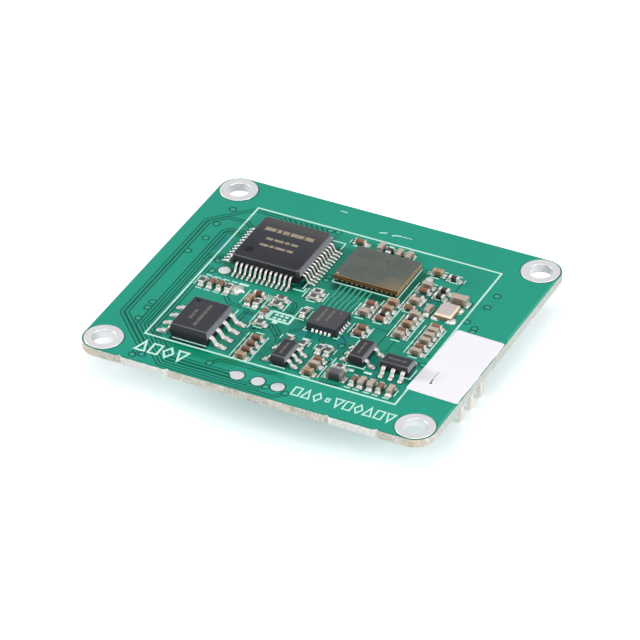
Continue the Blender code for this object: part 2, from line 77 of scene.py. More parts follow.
def tube(rings, closed=False):
    # Quads between each ring of points and the next; open ends get one flat face each
    count, size = rings.shape[:2]
    i, j = np.meshgrid(np.arange(count if closed else count - 1), np.arange(size), indexing="ij")
    nextRing, nextPoint = (i + 1) % count, (j + 1) % size
    corners = [i * size + j, i * size + nextPoint, nextRing * size + nextPoint, nextRing * size + j]
    faces = np.stack(corners, -1).reshape(-1, 4).tolist()
    if not closed:
        faces += [list(range(size))[::-1], list(range((count - 1) * size, count * size))]
    return rings.reshape(-1, 3), faces


def placed(shape, x=0.0, y=0.0, z=0.0, turn=0.0):
    # Turns a shape about Z by degrees, then moves it
    points, faces = shape
    cos, sin = math.cos(math.radians(turn)), math.sin(math.radians(turn))
    turned = points @ np.array([[cos, sin, 0], [-sin, cos, 0], [0, 0, 1]])
    return turned + np.array([x, y, z]), faces


def atHeight(outline, z):
    return np.column_stack([outline, np.full(len(outline), z)])


def roundedOutline(length, width, radius, steps=4):
    # Four quarter circles, each centred one radius in from its corner
    angle = np.radians(np.concatenate([np.linspace(90 * q, 90 * q + 90, steps + 1) for q in range(4)]))
    cornerX = np.repeat([1, -1, -1, 1], steps + 1) * (length / 2 - radius)
    cornerY = np.repeat([1, 1, -1, -1], steps + 1) * (width / 2 - radius)
    return np.column_stack([cornerX + radius * np.cos(angle), cornerY + radius * np.sin(angle)])


def softLevels(low, high, edge, steps=3):
    # Height and inset of each ring of a block whose top and bottom edges are quarter circles
    t = np.radians(np.linspace(0, 90, steps + 1))
    lower = np.column_stack([low + edge * (1 - np.cos(t)), edge * (1 - np.sin(t))])
    upper = np.column_stack([high - lower[::-1, 0] + low, lower[::-1, 1]])
    return np.vstack([lower, upper])


def block(length, width, levels, radius, steps=3):
    # The same rounded rectangle at each level, drawn in by that level's inset
    rings = []
    for z, inset in levels:
        outline = roundedOutline(length - 2 * inset, width - 2 * inset, max(radius - inset, 0.01), steps)
        rings.append(atHeight(outline, z))
    return tube(np.array(rings))


def plate(length, width, thickness, radius=0.05, edge=0.01):
    return block(length, width, softLevels(0.0, thickness, min(edge, thickness / 2.2), 1), radius, 2)


def turned(profile, steps=32, closed=False):
    # Radius and height pairs carried once round the Z axis
    angle = np.linspace(0, 2 * np.pi, steps, endpoint=False)
    profile = np.asarray(profile, float)
    r, z = profile[:, :1], np.repeat(profile[:, 1:], steps, 1)
    return tube(np.stack([r * np.cos(angle), r * np.sin(angle), z], -1), closed)


def bar(stations, width, height, lift, radius):
    # A rounded rectangle upright in the YZ plane, carried along X, smaller by each station's inset
    rings = []
    for x, inset in stations:
        outline = roundedOutline(width - 2 * inset, height - 2 * inset, max(radius - inset, 0.01), 2)
        rings.append(np.column_stack([np.full(len(outline), x), outline[:, 0],
                                      lift + height / 2 + outline[:, 1]]))
    return tube(np.array(rings))


def softCorners(path, reach, steps=5):
    # Each inner corner becomes a curve of second degree that starts and ends one reach from it
    path = np.asarray(path, float)
    inner, before, after = path[1:-1, None], path[:-2, None], path[2:, None]
    def towards(other):
        step = other - inner
        distance = np.linalg.norm(step, axis=-1, keepdims=True)
        return inner + step / distance * np.minimum(reach, distance * 0.48)
    t = np.linspace(0, 1, steps)[None, :, None]
    curve = (1 - t) ** 2 * towards(before) + 2 * t * (1 - t) * inner + t ** 2 * towards(after)
    return np.vstack([path[:1], curve.reshape(-1, path.shape[1]), path[-1:]])


def carried(path, profile, side):
    # A flat profile kept square to the path: its first number along side, its second across it
    ahead = np.gradient(path, axis=0)
    ahead /= np.linalg.norm(ahead, axis=1, keepdims=True)
    up = np.cross(ahead, side)
    rings = path[:, None] + profile[None, :, :1] * np.asarray(side) + profile[None, :, 1:] * up[:, None]
    return tube(rings)


def mitred(path, closed=False):
    # Sideways direction at each point of a flat line, longer at a corner by 1 / cos(half the bend)
    step = np.diff(np.vstack([path, path[:1]]) if closed else path, axis=0)
    step /= np.linalg.norm(step, axis=1, keepdims=True)
    before = np.roll(step, 1, 0) if closed else np.vstack([step[:1], step])
    after = step if closed else np.vstack([step, step[-1:]])
    side = np.column_stack([-(before + after)[:, 1], (before + after)[:, 0]])
    side /= np.linalg.norm(side, axis=1, keepdims=True)
    return side / np.abs(np.sum(side * np.column_stack([-after[:, 1], after[:, 0]]), axis=1, keepdims=True))


def beside(path, distance):
    return path + mitred(path) * distance


def strip(path, width, low, high, edge=0.0):
    # A line of even width along a bent path on the board, mitred at its corners
    path = np.asarray(path, float)
    across = np.array([-0.5, -0.5 + edge / width, 0.5 - edge / width, 0.5]) * width
    height = np.array([low, high, high, low])
    rings = path[:, None] + across[None, :, None] * mitred(path)[:, None]
    return tube(np.concatenate([rings, np.broadcast_to(height[None, :, None], (*rings.shape[:2], 1))], -1))


def loopStrip(outline, width, low, high):
    # The same line round a closed outline: an outer and an inner edge at two heights
    outline = np.asarray(outline, float)
    side = mitred(outline, closed=True)
    edges = [(0.5, low), (0.5, high), (-0.5, high), (-0.5, low)]
    rings = [atHeight(outline - side * share * width, z) for share, z in edges]
    return tube(np.array(rings), closed=True)


def disc(radius, low, high, edge=0.02, steps=24):
    return turned([(radius, low), (radius, high - edge), (radius - edge, high), (0.02, high)], steps)


def bead(radius, height, steps=20):
    # A half ellipse turned round its axis
    angle = np.radians(np.linspace(0, 88, 7))
    return turned(np.column_stack([radius * np.cos(angle), height * np.sin(angle)]), steps)


# Pieces. A piece is a list of shapes, each with the number of its material

def onTop(shapes, x=0.0, y=0.0, z=0.0, turn=0.0, paint=0):
    # Places shapes over the board's top face, all in one material
    return [(placed(shape, x, y, top + z, turn), paint) for shape in shapes]


def makePiece(name, shapes, materials, replaces=(), smooth=38):
    # The faces are turned outwards at the end
    points, faces, paint, start = [], [], [], 0
    for (shapePoints, shapeFaces), material in shapes:
        points.append(shapePoints)
        faces += [[start + corner for corner in face] for face in shapeFaces]
        paint += [material] * len(shapeFaces)
        start += len(shapePoints)
    mesh = bpy.data.meshes.new(name)
    mesh.from_pydata((np.vstack(points) * mm).tolist(), [], faces)
    for material in materials:
        mesh.materials.append(material)
    mesh.polygons.foreach_set("material_index", paint)
    bm = bmesh.new()
    bm.from_mesh(mesh)
    bmesh.ops.recalc_face_normals(bm, faces=bm.faces)
    bm.to_mesh(mesh)
    bm.free()
    mesh.shade_smooth()
    mesh.set_sharp_from_angle(angle=math.radians(smooth))
    piece = bpy.data.objects.new(name, mesh)
    bpy.context.scene.collection.objects.link(piece)
    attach(piece, "root")
    if replaces:
        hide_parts(*replaces)
    return piece


def weld(piece, smooth):
    # Joins shapes that share their rims, then finds the sharp edges of the joined mesh
    bm = bmesh.new()
    bm.from_mesh(piece.data)
    bmesh.ops.remove_doubles(bm, verts=bm.verts, dist=0.0002 * mm)
    bmesh.ops.recalc_face_normals(bm, faces=bm.faces)
    openEdges = sum(not edge.is_manifold for edge in bm.edges)
    bm.to_mesh(piece.data)
    bm.free()
    piece.data.shade_smooth()
    piece.data.set_sharp_from_angle(angle=math.radians(smooth))
    print(piece.name, "joined, open edges:", openEdges)


# Shader groups

def newGroup(name, inputs, outputs):
    group = bpy.data.node_groups.new(name, "ShaderNodeTree")
    for socket, (kind, value) in inputs.items():
        made = group.interface.new_socket(socket, in_out="INPUT", socket_type=kind)
        if value is not None:
            made.default_value = value
    for socket, kind in outputs.items():
        group.interface.new_socket(socket, in_out="OUTPUT", socket_type=kind)
    return group, group.nodes.new("NodeGroupInput"), group.nodes.new("NodeGroupOutput")


def addNode(tree, kind, settings=None, links=None):
    # A node with its settings, its plain socket values and its incoming links
    node = tree.nodes.new(kind)
    for key, value in (settings or {}).items():
        if isinstance(key, int) or key in node.inputs:
            node.inputs[key].default_value = value
        else:
            setattr(node, key, value)
    for key, source in (links or {}).items():
        tree.links.new(source, node.inputs[key])
    return node


def calc(tree, operation, first, second, clamp=False):
    # One sum on two values, each a socket or a plain number
    node = addNode(tree, "ShaderNodeMath", {"operation": operation, "use_clamp": clamp})
    for socket, value in zip(node.inputs, (first, second)):
        if isinstance(value, bpy.types.NodeSocket):
            tree.links.new(value, socket)
        else:
            socket.default_value = value
    return node.outputs[0]


def speckleGroup():
    # Two sizes of noise, fine and broad, mixed by a share: a mask, a height and a mixed colour
    group, given, result = newGroup("speckle", {
        "Vector": ("NodeSocketVector", None), "Fine Scale": ("NodeSocketFloat", 4000.0),
        "Broad Scale": ("NodeSocketFloat", 400.0), "Fine Share": ("NodeSocketFloat", 0.5),
        "Contrast": ("NodeSocketFloat", 1.0), "Light": ("NodeSocketColor", (1, 1, 1, 1)),
        "Dark": ("NodeSocketColor", (0, 0, 0, 1)),
    }, {"Color": "NodeSocketColor", "Mask": "NodeSocketFloat", "Height": "NodeSocketFloat"})
    fine = addNode(group, "ShaderNodeTexNoise", {"Detail": 3.0},
                   {"Vector": given.outputs["Vector"], "Scale": given.outputs["Fine Scale"]})
    broad = addNode(group, "ShaderNodeTexNoise", {"Detail": 2.0},
                    {"Vector": given.outputs["Vector"], "Scale": given.outputs["Broad Scale"]})
    both = addNode(group, "ShaderNodeMix", {"data_type": "FLOAT"},
                   {0: given.outputs["Fine Share"], 2: broad.outputs[0], 3: fine.outputs[0]})
    centred = calc(group, "SUBTRACT", both.outputs[0], 0.5)
    mask = calc(group, "ADD", calc(group, "MULTIPLY", centred, given.outputs["Contrast"]), 0.5, clamp=True)
    colour = addNode(group, "ShaderNodeMix", {"data_type": "RGBA"},
                     {0: mask, 6: given.outputs["Dark"], 7: given.outputs["Light"]})
    group.links.new(colour.outputs[2], result.inputs["Color"])
    group.links.new(mask, result.inputs["Mask"])
    group.links.new(both.outputs[0], result.inputs["Height"])
    return group


speckle = speckleGroup()


def linear(code):
    # A colour as it is seen on a screen, such as 2e9b82, as the linear colour that shaders use
    levels = np.array([int(code[i:i + 2], 16) for i in (0, 2, 4)]) / 255
    shades = np.where(levels <= 0.04045, levels / 12.92, ((levels + 0.055) / 1.055) ** 2.4)
    return (*shades.tolist(), 1.0)


def finish(name, light, dark, roughness=(0.4, 0.5), metallic=0.0, fine=4000.0, broad=500.0,
           share=0.5, contrast=1.5, bump=0.1, depth=0.01, stretch=(1, 1, 1), shine=0.5):
    # A Principled surface whose colour, roughness and relief all follow one speckle
    material = bpy.data.materials.new(name)
    material.use_nodes = True
    tree = material.node_tree
    shader = tree.nodes["Principled BSDF"]
    place = addNode(tree, "ShaderNodeTexCoord")
    stretched = addNode(tree, "ShaderNodeMapping", {"Scale": stretch}, {"Vector": place.outputs["Object"]})
    grain = addNode(tree, "ShaderNodeGroup", {"node_tree": speckle})
    for socket, value in {"Fine Scale": fine, "Broad Scale": broad, "Fine Share": share,
                          "Contrast": contrast, "Light": linear(light), "Dark": linear(dark)}.items():
        grain.inputs[socket].default_value = value
    tree.links.new(stretched.outputs[0], grain.inputs["Vector"])
    tree.links.new(grain.outputs["Color"], shader.inputs["Base Color"])
    rough = addNode(tree, "ShaderNodeMapRange", {"To Min": roughness[0], "To Max": roughness[1]},
                    {"Value": grain.outputs["Mask"]})
    tree.links.new(rough.outputs[0], shader.inputs["Roughness"])
    relief = addNode(tree, "ShaderNodeBump", {"Strength": bump, "Distance": depth * mm},
                     {"Height": grain.outputs["Height"]})
    tree.links.new(relief.outputs[0], shader.inputs["Normal"])
    shader.inputs["Metallic"].default_value = metallic
    shader.inputs["Specular IOR Level"].default_value = shine
    return material


def layColour(material, share, colour):
    # Mixes one colour over what the finish has so far
    tree = material.node_tree
    base = tree.nodes["Principled BSDF"].inputs["Base Color"]
    mixed = addNode(tree, "ShaderNodeMix", {"data_type": "RGBA", 7: linear(colour)},
                    {0: share, 6: base.links[0].from_socket})
    tree.links.new(mixed.outputs[2], base)
    return material


def patchGroup():
    # 1 inside a rectangle and 0 outside, a smooth step across twice the blur at its edges
    group, given, result = newGroup("softPatch", {
        "Vector": ("NodeSocketVector", None), "Centre": ("NodeSocketVector", (0, 0, 0)),
        "Half": ("NodeSocketVector", (0.001, 0.001, 0)), "Blur": ("NodeSocketFloat", 0.0003),
    }, {"Mask": "NodeSocketFloat"})
    away = addNode(group, "ShaderNodeVectorMath", {"operation": "SUBTRACT"},
                   {0: given.outputs["Vector"], 1: given.outputs["Centre"]})
    size = addNode(group, "ShaderNodeVectorMath", {"operation": "ABSOLUTE"}, {0: away.outputs[0]})
    over = addNode(group, "ShaderNodeVectorMath", {"operation": "SUBTRACT"},
                   {0: size.outputs[0], 1: given.outputs["Half"]})
    split = addNode(group, "ShaderNodeSeparateXYZ", None, {0: over.outputs[0]})
    far = calc(group, "MAXIMUM", split.outputs["X"], split.outputs["Y"])
    step = {"interpolation_type": "SMOOTHSTEP", "From Min": -1.0, "From Max": 1.0, "To Min": 1.0,
            "To Max": 0.0}
    mask = addNode(group, "ShaderNodeMapRange", step,
                   {"Value": calc(group, "DIVIDE", far, given.outputs["Blur"])})
    group.links.new(mask.outputs[0], result.inputs["Mask"])
    return group


softPatch = patchGroup()


def addPatches(material, colour, patches, above=0.0):
    # Mixes one colour into a finish inside soft rectangles: centre, half size, blur and strength.
    # Nothing below the height "above" is changed
    tree = material.node_tree
    place, total = tree.nodes["Texture Coordinate"], None
    for (x, y), (halfX, halfY), blur, strength in patches:
        patch = addNode(tree, "ShaderNodeGroup", {"node_tree": softPatch},
                        {"Vector": place.outputs["Object"]})
        patch.inputs["Centre"].default_value = (x * mm, y * mm, 0)
        patch.inputs["Half"].default_value = (halfX * mm, halfY * mm, 0)
        patch.inputs["Blur"].default_value = blur * mm
        scaled = calc(tree, "MULTIPLY", patch.outputs[0], strength)
        total = calc(tree, "MAXIMUM", total, scaled) if total else scaled
    axes = addNode(tree, "ShaderNodeSeparateXYZ", None, {0: place.outputs["Object"]})
    over = calc(tree, "GREATER_THAN", axes.outputs["Z"], above * mm)
    return layColour(material, calc(tree, "MULTIPLY", total, over), colour)


def paintSideShade(material, colour, strength):
    # Painted shade: mixes a darker colour into the faces that don't look up
    tree = material.node_tree
    split = addNode(tree, "ShaderNodeSeparateXYZ", None,
                    {0: addNode(tree, "ShaderNodeNewGeometry").outputs["Normal"]})
    fall = {"From Min": 0.25, "From Max": 0.8, "To Min": strength, "To Max": 0.0}
    share = addNode(tree, "ShaderNodeMapRange", fall, {"Value": split.outputs["Z"]})
    return layColour(material, share.outputs[0], colour)


maskOverPour = finish("maskOverPour", "269d84", "1a927c", (0.36, 0.46), fine=2600, broad=160, share=0.4,
                      contrast=1.3, bump=0.08, shine=0.14)
lacquerTintsAndShade = [
    # The crowded middle is duller: painted shade between the parts, with the dark of its many small mask
    # gaps
    ("205c52", [
        ((0.1, 0.3), (12.0, 10.8), 1.0, 0.14), ((1.0, -2.2), (6.0, 4.0), 1.5, 0.24),
    ]),
    # Where the copper pour stops, and along the front rim, the lacquer is darker; beside and in front of the
    # chips this is painted shade
    ("06503d", [
        ((0, -14.9), (15.5, 0.06), 0.08, 0.6), ((2.4, 2.85), (3.0, 0.55), 0.4, 1.0),
        ((1.4, 1.2), (1.6, 1.6), 0.5, 0.5), ((6.15, 5.6), (0.35, 2.7), 0.35, 0.85),
        ((-0.95, 6.4), (0.12, 2.2), 0.3, 0.5), ((-6.8, 0.85), (3.8, 0.7), 0.35, 0.7),
        ((-2.8, 5.0), (0.5, 3.6), 0.35, 0.85), ((-10.8, 5.0), (0.45, 3.4), 0.3, 0.6),
        ((9.1, -8.0), (2.3, 0.6), 0.4, 0.55), ((3.4, -3.9), (8.7, 6.6), 0.8, 0.2),
        ((8.6, 4.6), (1.1, 0.5), 0.4, 0.5), ((1.8, -4.9), (1.9, 0.5), 0.4, 0.45),
        ((-7.0, 9.6), (3.6, 0.6), 0.4, 0.3),
    ]),
    # Painted shade, near black, under the leads and beside the radar chip
    ("0b1c19", [
        ((-2.95, 5.0), (0.35, 3.2), 0.25, 0.75), ((-6.8, 1.15), (3.2, 0.35), 0.25, 0.75),
        ((2.4, 3.72), (3.3, 0.3), 0.08, 0.9), ((5.62, 6.1), (0.2, 2.6), 0.08, 0.8),
    ]),
    # Shade in front of the chips and in the gaps between them
    ("0a2620", [
        ((-8.3, -10.45), (1.9, 0.42), 0.15, 0.95), ((1.85, -4.2), (1.7, 0.3), 0.25, 0.9),
        ((0.65, -10.2), (0.75, 0.25), 0.2, 0.8), ((1.2, 3.05), (2.2, 0.35), 0.4, 0.5),
        ((5.8, -10.6), (0.9, 0.2), 0.3, 0.5), ((9.6, -10.3), (2.2, 0.15), 0.3, 0.4),
        ((12.0, -7.0), (0.25, 0.7), 0.3, 0.5), ((-3.2, 1.7), (0.5, 0.4), 0.3, 0.7),
        ((6.6, -7.4), (0.9, 0.25), 0.3, 0.6),
    ]),
    # Light on the right rim
    ("86d6c0", [
        ((17.34, 7.2), (0.08, 5.2), 0.1, 0.35), ((17.34, -10.9), (0.08, 2.0), 0.1, 0.35),
    ]),
    # Painted shade: a deep, saturated green in front of the chips
    ("00805a", [
        ((-6.6, -11.6), (3.6, 0.6), 0.5, 0.85), ((0.2, -11.35), (1.6, 0.3), 0.4, 0.6),
        ((-2.9, 0.6), (0.5, 0.35), 0.4, 0.8), ((5.9, -4.1), (0.5, 1.2), 0.4, 0.6),
        ((1.6, -4.6), (1.6, 0.3), 0.5, 0.5), ((9.3, -4.4), (1.2, 0.3), 0.4, 0.5),
    ]),
    # Bluer copper-free places
    ("157a80", [
        ((-12.95, 4.45), (0.3, 1.2), 0.25, 0.7), ((-11.2, -13.95), (0.6, 0.3), 0.3, 0.8),
        ((-14.0, -9.9), (0.2, 0.4), 0.25, 0.7), ((8.95, 4.55), (0.5, 0.2), 0.25, 0.7),
        ((4.0, -4.4), (0.45, 0.7), 0.4, 0.7), ((-5.35, -4.7), (0.3, 0.7), 0.3, 0.6),
        ((1.6, -4.75), (1.0, 0.25), 0.35, 0.5), ((-0.6, -4.6), (0.4, 0.5), 0.35, 0.5),
        ((0.35, -4.85), (0.3, 0.5), 0.3, 0.6),
    ]),
]
for colour, patches in lacquerTintsAndShade:
    addPatches(maskOverPour, colour, patches, boardMiddle)
trackGrain = {"fine": 1500, "broad": 200, "contrast": 1.0, "bump": 0.05}
maskOverTrace = finish("maskOverTrace", "46a48e", "389a84", (0.36, 0.44), shine=0.14, **trackGrain)
maskOverGap = finish("maskOverGap", "14604f", "0d5545", (0.4, 0.5), shine=0.1, **trackGrain)
whiteInk = finish("whiteInk", "d2f4ea", "b6ebdc", (0.5, 0.65), fine=6000, broad=700, contrast=1.4,
                  bump=0.2, depth=0.004)
glassEdge = finish("glassEdge", "ece9e0", "a9a699", (0.6, 0.85), fine=5200, broad=1500, share=0.6,
                   contrast=3.0, bump=0.8, depth=0.06, shine=0.2)
# Painted shade: the right edge of the laminate is greyer
addPatches(glassEdge, "bcc6c2", [((17.6, 0.5), (0.35, 13.2), 0.3, 0.6)])
addPatches(glassEdge, "d8b890", [((x, -14.9), (0.9, 0.5), 0.5, 0.35) for x in (-16.6, 16.3)])
tornFibre = finish("tornFibre", "f4f4f0", "cfd3cd", (0.5, 0.8), fine=4200, broad=1800,
                   contrast=2.6, bump=0.9, depth=0.08, shine=0.2)
solder = finish("solder", "d9dbd7", "b2b4af", (0.26, 0.42), 0.65, 3500, 900, contrast=1.6, bump=0.25,
                depth=0.02)
platedTin = finish("platedTin", "dededf", "cfd0d3", (0.32, 0.46), 0.7, 2500, 350, contrast=1.3, bump=0.12,
                   depth=0.02)
tinGrain = {"fine": 4500, "broad": 900, "contrast": 1.5, "bump": 0.15}
leadTin = finish("leadTin", "e8e6e2", "c4c1bc", (0.26, 0.42), 0.5, **tinGrain)
# Painted highlight on the left row of the largest chip's leads
addPatches(leadTin, "ffffff", [((-11.05, 5.0), (0.75, 3.2), 0.2, 0.6)])
endTin = finish("endTin", "c6bab0", "a5978b", (0.32, 0.46), 0.4, **tinGrain)
brightTin = finish("brightTin", "f3f0ea", "cfcac2", (0.3, 0.44), 0.5, **tinGrain)
moulding = finish("moulding", "32333a", "282930", (0.5, 0.66), fine=9000, broad=1200, share=0.7,
                  contrast=1.6, bump=0.35, depth=0.012, shine=0.25)
# The power chip is paler. On the largest chip, painted shade darkens the front of its top and a painted
# sheen lightens its back
addPatches(moulding, "505054", [((1.8, -2.6), (1.45, 1.45), 0.1, 0.6)])
addPatches(moulding, "15151a", [((-6.6, 2.4), (3.7, 1.3), 1.8, 0.75)])
addPatches(moulding, "64625f", [((-6.8, 8.1), (3.7, 1.0), 1.6, 0.45)])
mouldGrain = {"fine": 9000, "broad": 900, "share": 0.6, "bump": 0.3}
# Moulded sides: the darker sides are painted shade, the paler right flank painted light, and the lighter
# edge band a painted highlight
mouldShadedSide = finish("mouldShadedSide", "17171b", "0e0e11", (0.3, 0.42), contrast=1.8, **mouldGrain)
mouldLitFlank = finish("mouldLitFlank", "85868d", "73747b", (0.4, 0.5), contrast=1.8, shine=0.4, **mouldGrain)
mouldHighlitEdge = finish("mouldHighlitEdge", "626268", "4c4c52", (0.3, 0.4), contrast=2.0, shine=0.6, **mouldGrain)
inkGrain = {"fine": 9000, "broad": 2500, "contrast": 2.6, "depth": 0.004}
chipInk = finish("chipInk", "a99c84", "7c7262", (0.55, 0.7), **inkGrain)
faintInk = finish("faintInk", "6f6a62", "4d4b49", (0.55, 0.7), **inkGrain)
ceramicGrain = {"fine": 5000, "contrast": 1.7, "bump": 0.25}
tanCeramic = finish("tanCeramic", "c4b7a9", "a89a8b", (0.42, 0.6), broad=800, **ceramicGrain)
warmCeramic = finish("warmCeramic", "b8967a", "927258", (0.42, 0.6), broad=800, **ceramicGrain)
dullTin = finish("dullTin", "9a9088", "766d66", (0.36, 0.5), 0.4, **(tinGrain | {"contrast": 1.8}))
warmTin = finish("warmTin", "c4b09a", "a28b74", (0.32, 0.46), 0.4, **tinGrain)
# Painted shade on the sides of the ceramic parts
paintSideShade(tanCeramic, "6a5240", 0.72)
paintSideShade(warmCeramic, "62432c", 0.7)
brownCeramic = finish("brownCeramic", "916d5b", "6e4b3a", (0.38, 0.55), broad=900, **ceramicGrain)
darkCeramic = finish("darkCeramic", "7a4b38", "4f2a1d", (0.3, 0.45), broad=900,
                     **(ceramicGrain | {"bump": 0.2}))
blackCeramic = finish("blackCeramic", "2b2b2d", "1a1a1c", (0.32, 0.5), fine=6000, broad=900, contrast=1.6,
                      bump=0.25)
greyFerrite = finish("greyFerrite", "5f5e63", "454449", (0.4, 0.55), fine=6000, broad=900, contrast=1.7,
                     bump=0.3, depth=0.012)
# Painted shade on the ferrite's sides
paintSideShade(greyFerrite, "2a292c", 0.6)
resistorFilm = finish("resistorFilm", "4e4d53", "3a393f", (0.3, 0.45), fine=6000, broad=1000, contrast=1.4,
                      bump=0.2, depth=0.008)
alumina = finish("alumina", "e6e3dc", "cdc9c0", (0.5, 0.7), fine=6000, broad=1000, bump=0.25)
lidMetal = finish("lidMetal", "d2c6c4", "bdafac", (0.34, 0.46), 0.5, 5000, 600, contrast=1.3, bump=0.15,
                  depth=0.008)
creamEdge = finish("creamEdge", "f8ecd2", "ddc9a2", (0.3, 0.45), 0.4, 4500, 700, bump=0.15, depth=0.008)
trayCeramic = finish("trayCeramic", "8f7a69", "5f5048", (0.45, 0.6), fine=5000, broad=800, contrast=1.6,
                     bump=0.2)
labelPaper = finish("labelPaper", "f8f6fb", "efedf4", (0.5, 0.62), fine=2600, broad=250, share=0.45,
                    contrast=1.2, bump=0.08)
tickInk = finish("tickInk", "3b4148", "20262c", (0.5, 0.7), fine=5000, broad=900)
pinTin = finish("pinTin", "fbf5ee", "e6dcd2", (0.22, 0.4), 0.95, 3500, 700, contrast=1.7, bump=0.2,
                depth=0.02, stretch=(1, 1, 0.3))
headerPlastic = finish("headerPlastic", "2a2a2c", "1d1d1f", (0.45, 0.6), fine=7000, broad=700, bump=0.3,
                       depth=0.015)
goldInk = finish("goldInk", "d8bd8a", "b8955e", (0.3, 0.45), 0.7, 5000, 900)
print("finishes made")


# Board: the skins of each quarter are a fan of quads round its screw hole and a strip along the outline

def boardQuarter():
    # One quarter of the board: its outline round the outer corner, evenly stepped, and its two inner sides
    halfX, halfY, r = board["length"] / 2, board["width"] / 2, board["corner"]
    def run(start, end):
        steps = max(2, round(math.dist(start, end) / board["edgeStep"]))
        return np.linspace(start, end, steps, endpoint=False)
    angle = np.radians(np.linspace(0, 90, 13))
    arc = np.column_stack([halfX - r + r * np.cos(angle), halfY - r + r * np.sin(angle)])
    outer = np.vstack([run((halfX, 0), (halfX, halfY - r)), arc[:-1], run((halfX - r, halfY), (0, halfY)),
                       [(0, halfY)]])
    nearX, nearY = halfX - board["rimWidth"], halfY - board["rimWidth"]
    inner = np.vstack([run((0, nearY), (0, 0))[1:], [(0, 0)], run((0, 0), (nearX, 0))[1:]])
    return outer, inner


def tabDraw(x):
    # How far the front edge is drawn in at the broken tab: a bell at each end, ragged fibre between
    ends = (board["tabFrom"], board["tabTo"])
    bells = sum(np.exp(-((x - place) / board["notchWidth"]) ** 2) for place in ends)
    ragged = board["fibre"]
    for size, turns, start in board["fibreWaves"]:
        ragged = ragged + size * np.sin(x * turns + start)
    inside = (x > board["tabFrom"]) & (x < board["tabTo"])
    return board["notch"] * bells - board["tabOut"] * inside * ragged


def makeBoard():
    quarter, inner = boardQuarter()
    count = len(quarter)
    levels = softLevels(board["bottom"], top, board["edgeRound"], 2)
    shapes = []
    def openSides(faces):
        # Without the faces that would close a run of points into a ring
        return [face for face in faces[:-2] if not {0, count - 1} <= {corner % count for corner in face}]
    for signX, signY in ((1, 1), (-1, 1), (-1, -1), (1, -1)):
        flip = np.array([signX, signY])
        # Rings move in along the outline's own normal
        ahead = np.gradient(quarter, axis=0)
        normal = np.column_stack([ahead[:, 1], -ahead[:, 0]]) / np.linalg.norm(ahead, axis=1, keepdims=True)
        normal[0], normal[-1] = (1, 0), (0, 1)
        onFront = (quarter[:, 1] > board["width"] / 2 - 0.01) & (signY < 0)
        drawn = tabDraw(quarter[:, 0] + board["notchLean"] * signX) * onFront
        outer = quarter - np.column_stack([quarter[:, 0] * 0, drawn])
        drawnIn = outer - normal * board["edgeRound"]
        centre = np.array([board["length"] / 2, board["width"] / 2]) - board["holeFromEdge"]
        near = quarter - normal * board["rimWidth"]
        ring = np.vstack([near, inner])
        spoke = ring - centre
        hole = centre + board["holeRadius"] * spoke / np.linalg.norm(spoke, axis=1, keepdims=True)
        for z in (board["bottom"], top):
            points, faces = tube(np.stack([atHeight(line * flip, z) for line in (hole, ring)]))
            shapes.append(((points, faces[:-2]), 0))
            points, faces = tube(np.stack([atHeight(line * flip, z) for line in (near, drawnIn)]))
            shapes.append(((points, openSides(faces)), 0))
        points, faces = tube(np.stack([atHeight(hole * flip, z) for z in (board["bottom"], top)]))
        shapes.append(((points, faces[:-2]), 1))
        rows = []
        for z, inset in levels:
            # The cut glass cloth is a little uneven between its two skins
            depth = np.clip(min(z - board["bottom"], top - z) / board["skin"], 0, 1)
            waves = [np.sin(outer * flip @ np.array(turns) + z * climb)
                     for turns, climb in board["clothWaves"]]
            draw = inset + board["edgeRoughness"] * depth * (0.5 + 0.5 * sum(waves) / len(waves))
            rows.append(atHeight((outer - normal * draw[:, None]) * flip, z))
        points, faces = tube(np.array(rows))
        inTab = onFront & (quarter[:, 0] > board["tabFrom"]) & (quarter[:, 0] < board["tabTo"])
        for paint in (1, 2):
            chosen = [face for face in openSides(faces) if bool(inTab[face[0] % count]) == (paint == 2)]
            shapes.append(((points, chosen), paint))
    piece = makePiece("board_laminate", shapes, [maskOverPour, glassEdge, tornFibre],
                      ["circuit_board"])
    # Below the angle of the rounded edge's facets, so that the two skins stay flat to their rims
    weld(piece, 15)


makeBoard()


# Copper under the solder mask: dark gaps where it is etched away, pale ridges where a track runs

copper = {
    "trackWidth": 0.2,
    "gapWidth": 0.12,
    "gapTop": 0.004,
    "levels": 6,
    "levelStep": 0.0015,
    "sunk": 0.02,
    "bend": 0.12,
    "viaRadius": 0.33,
    "viaLine": 0.11,
    "viaRise": 0.02,
    "plugShare": 0.8,
}
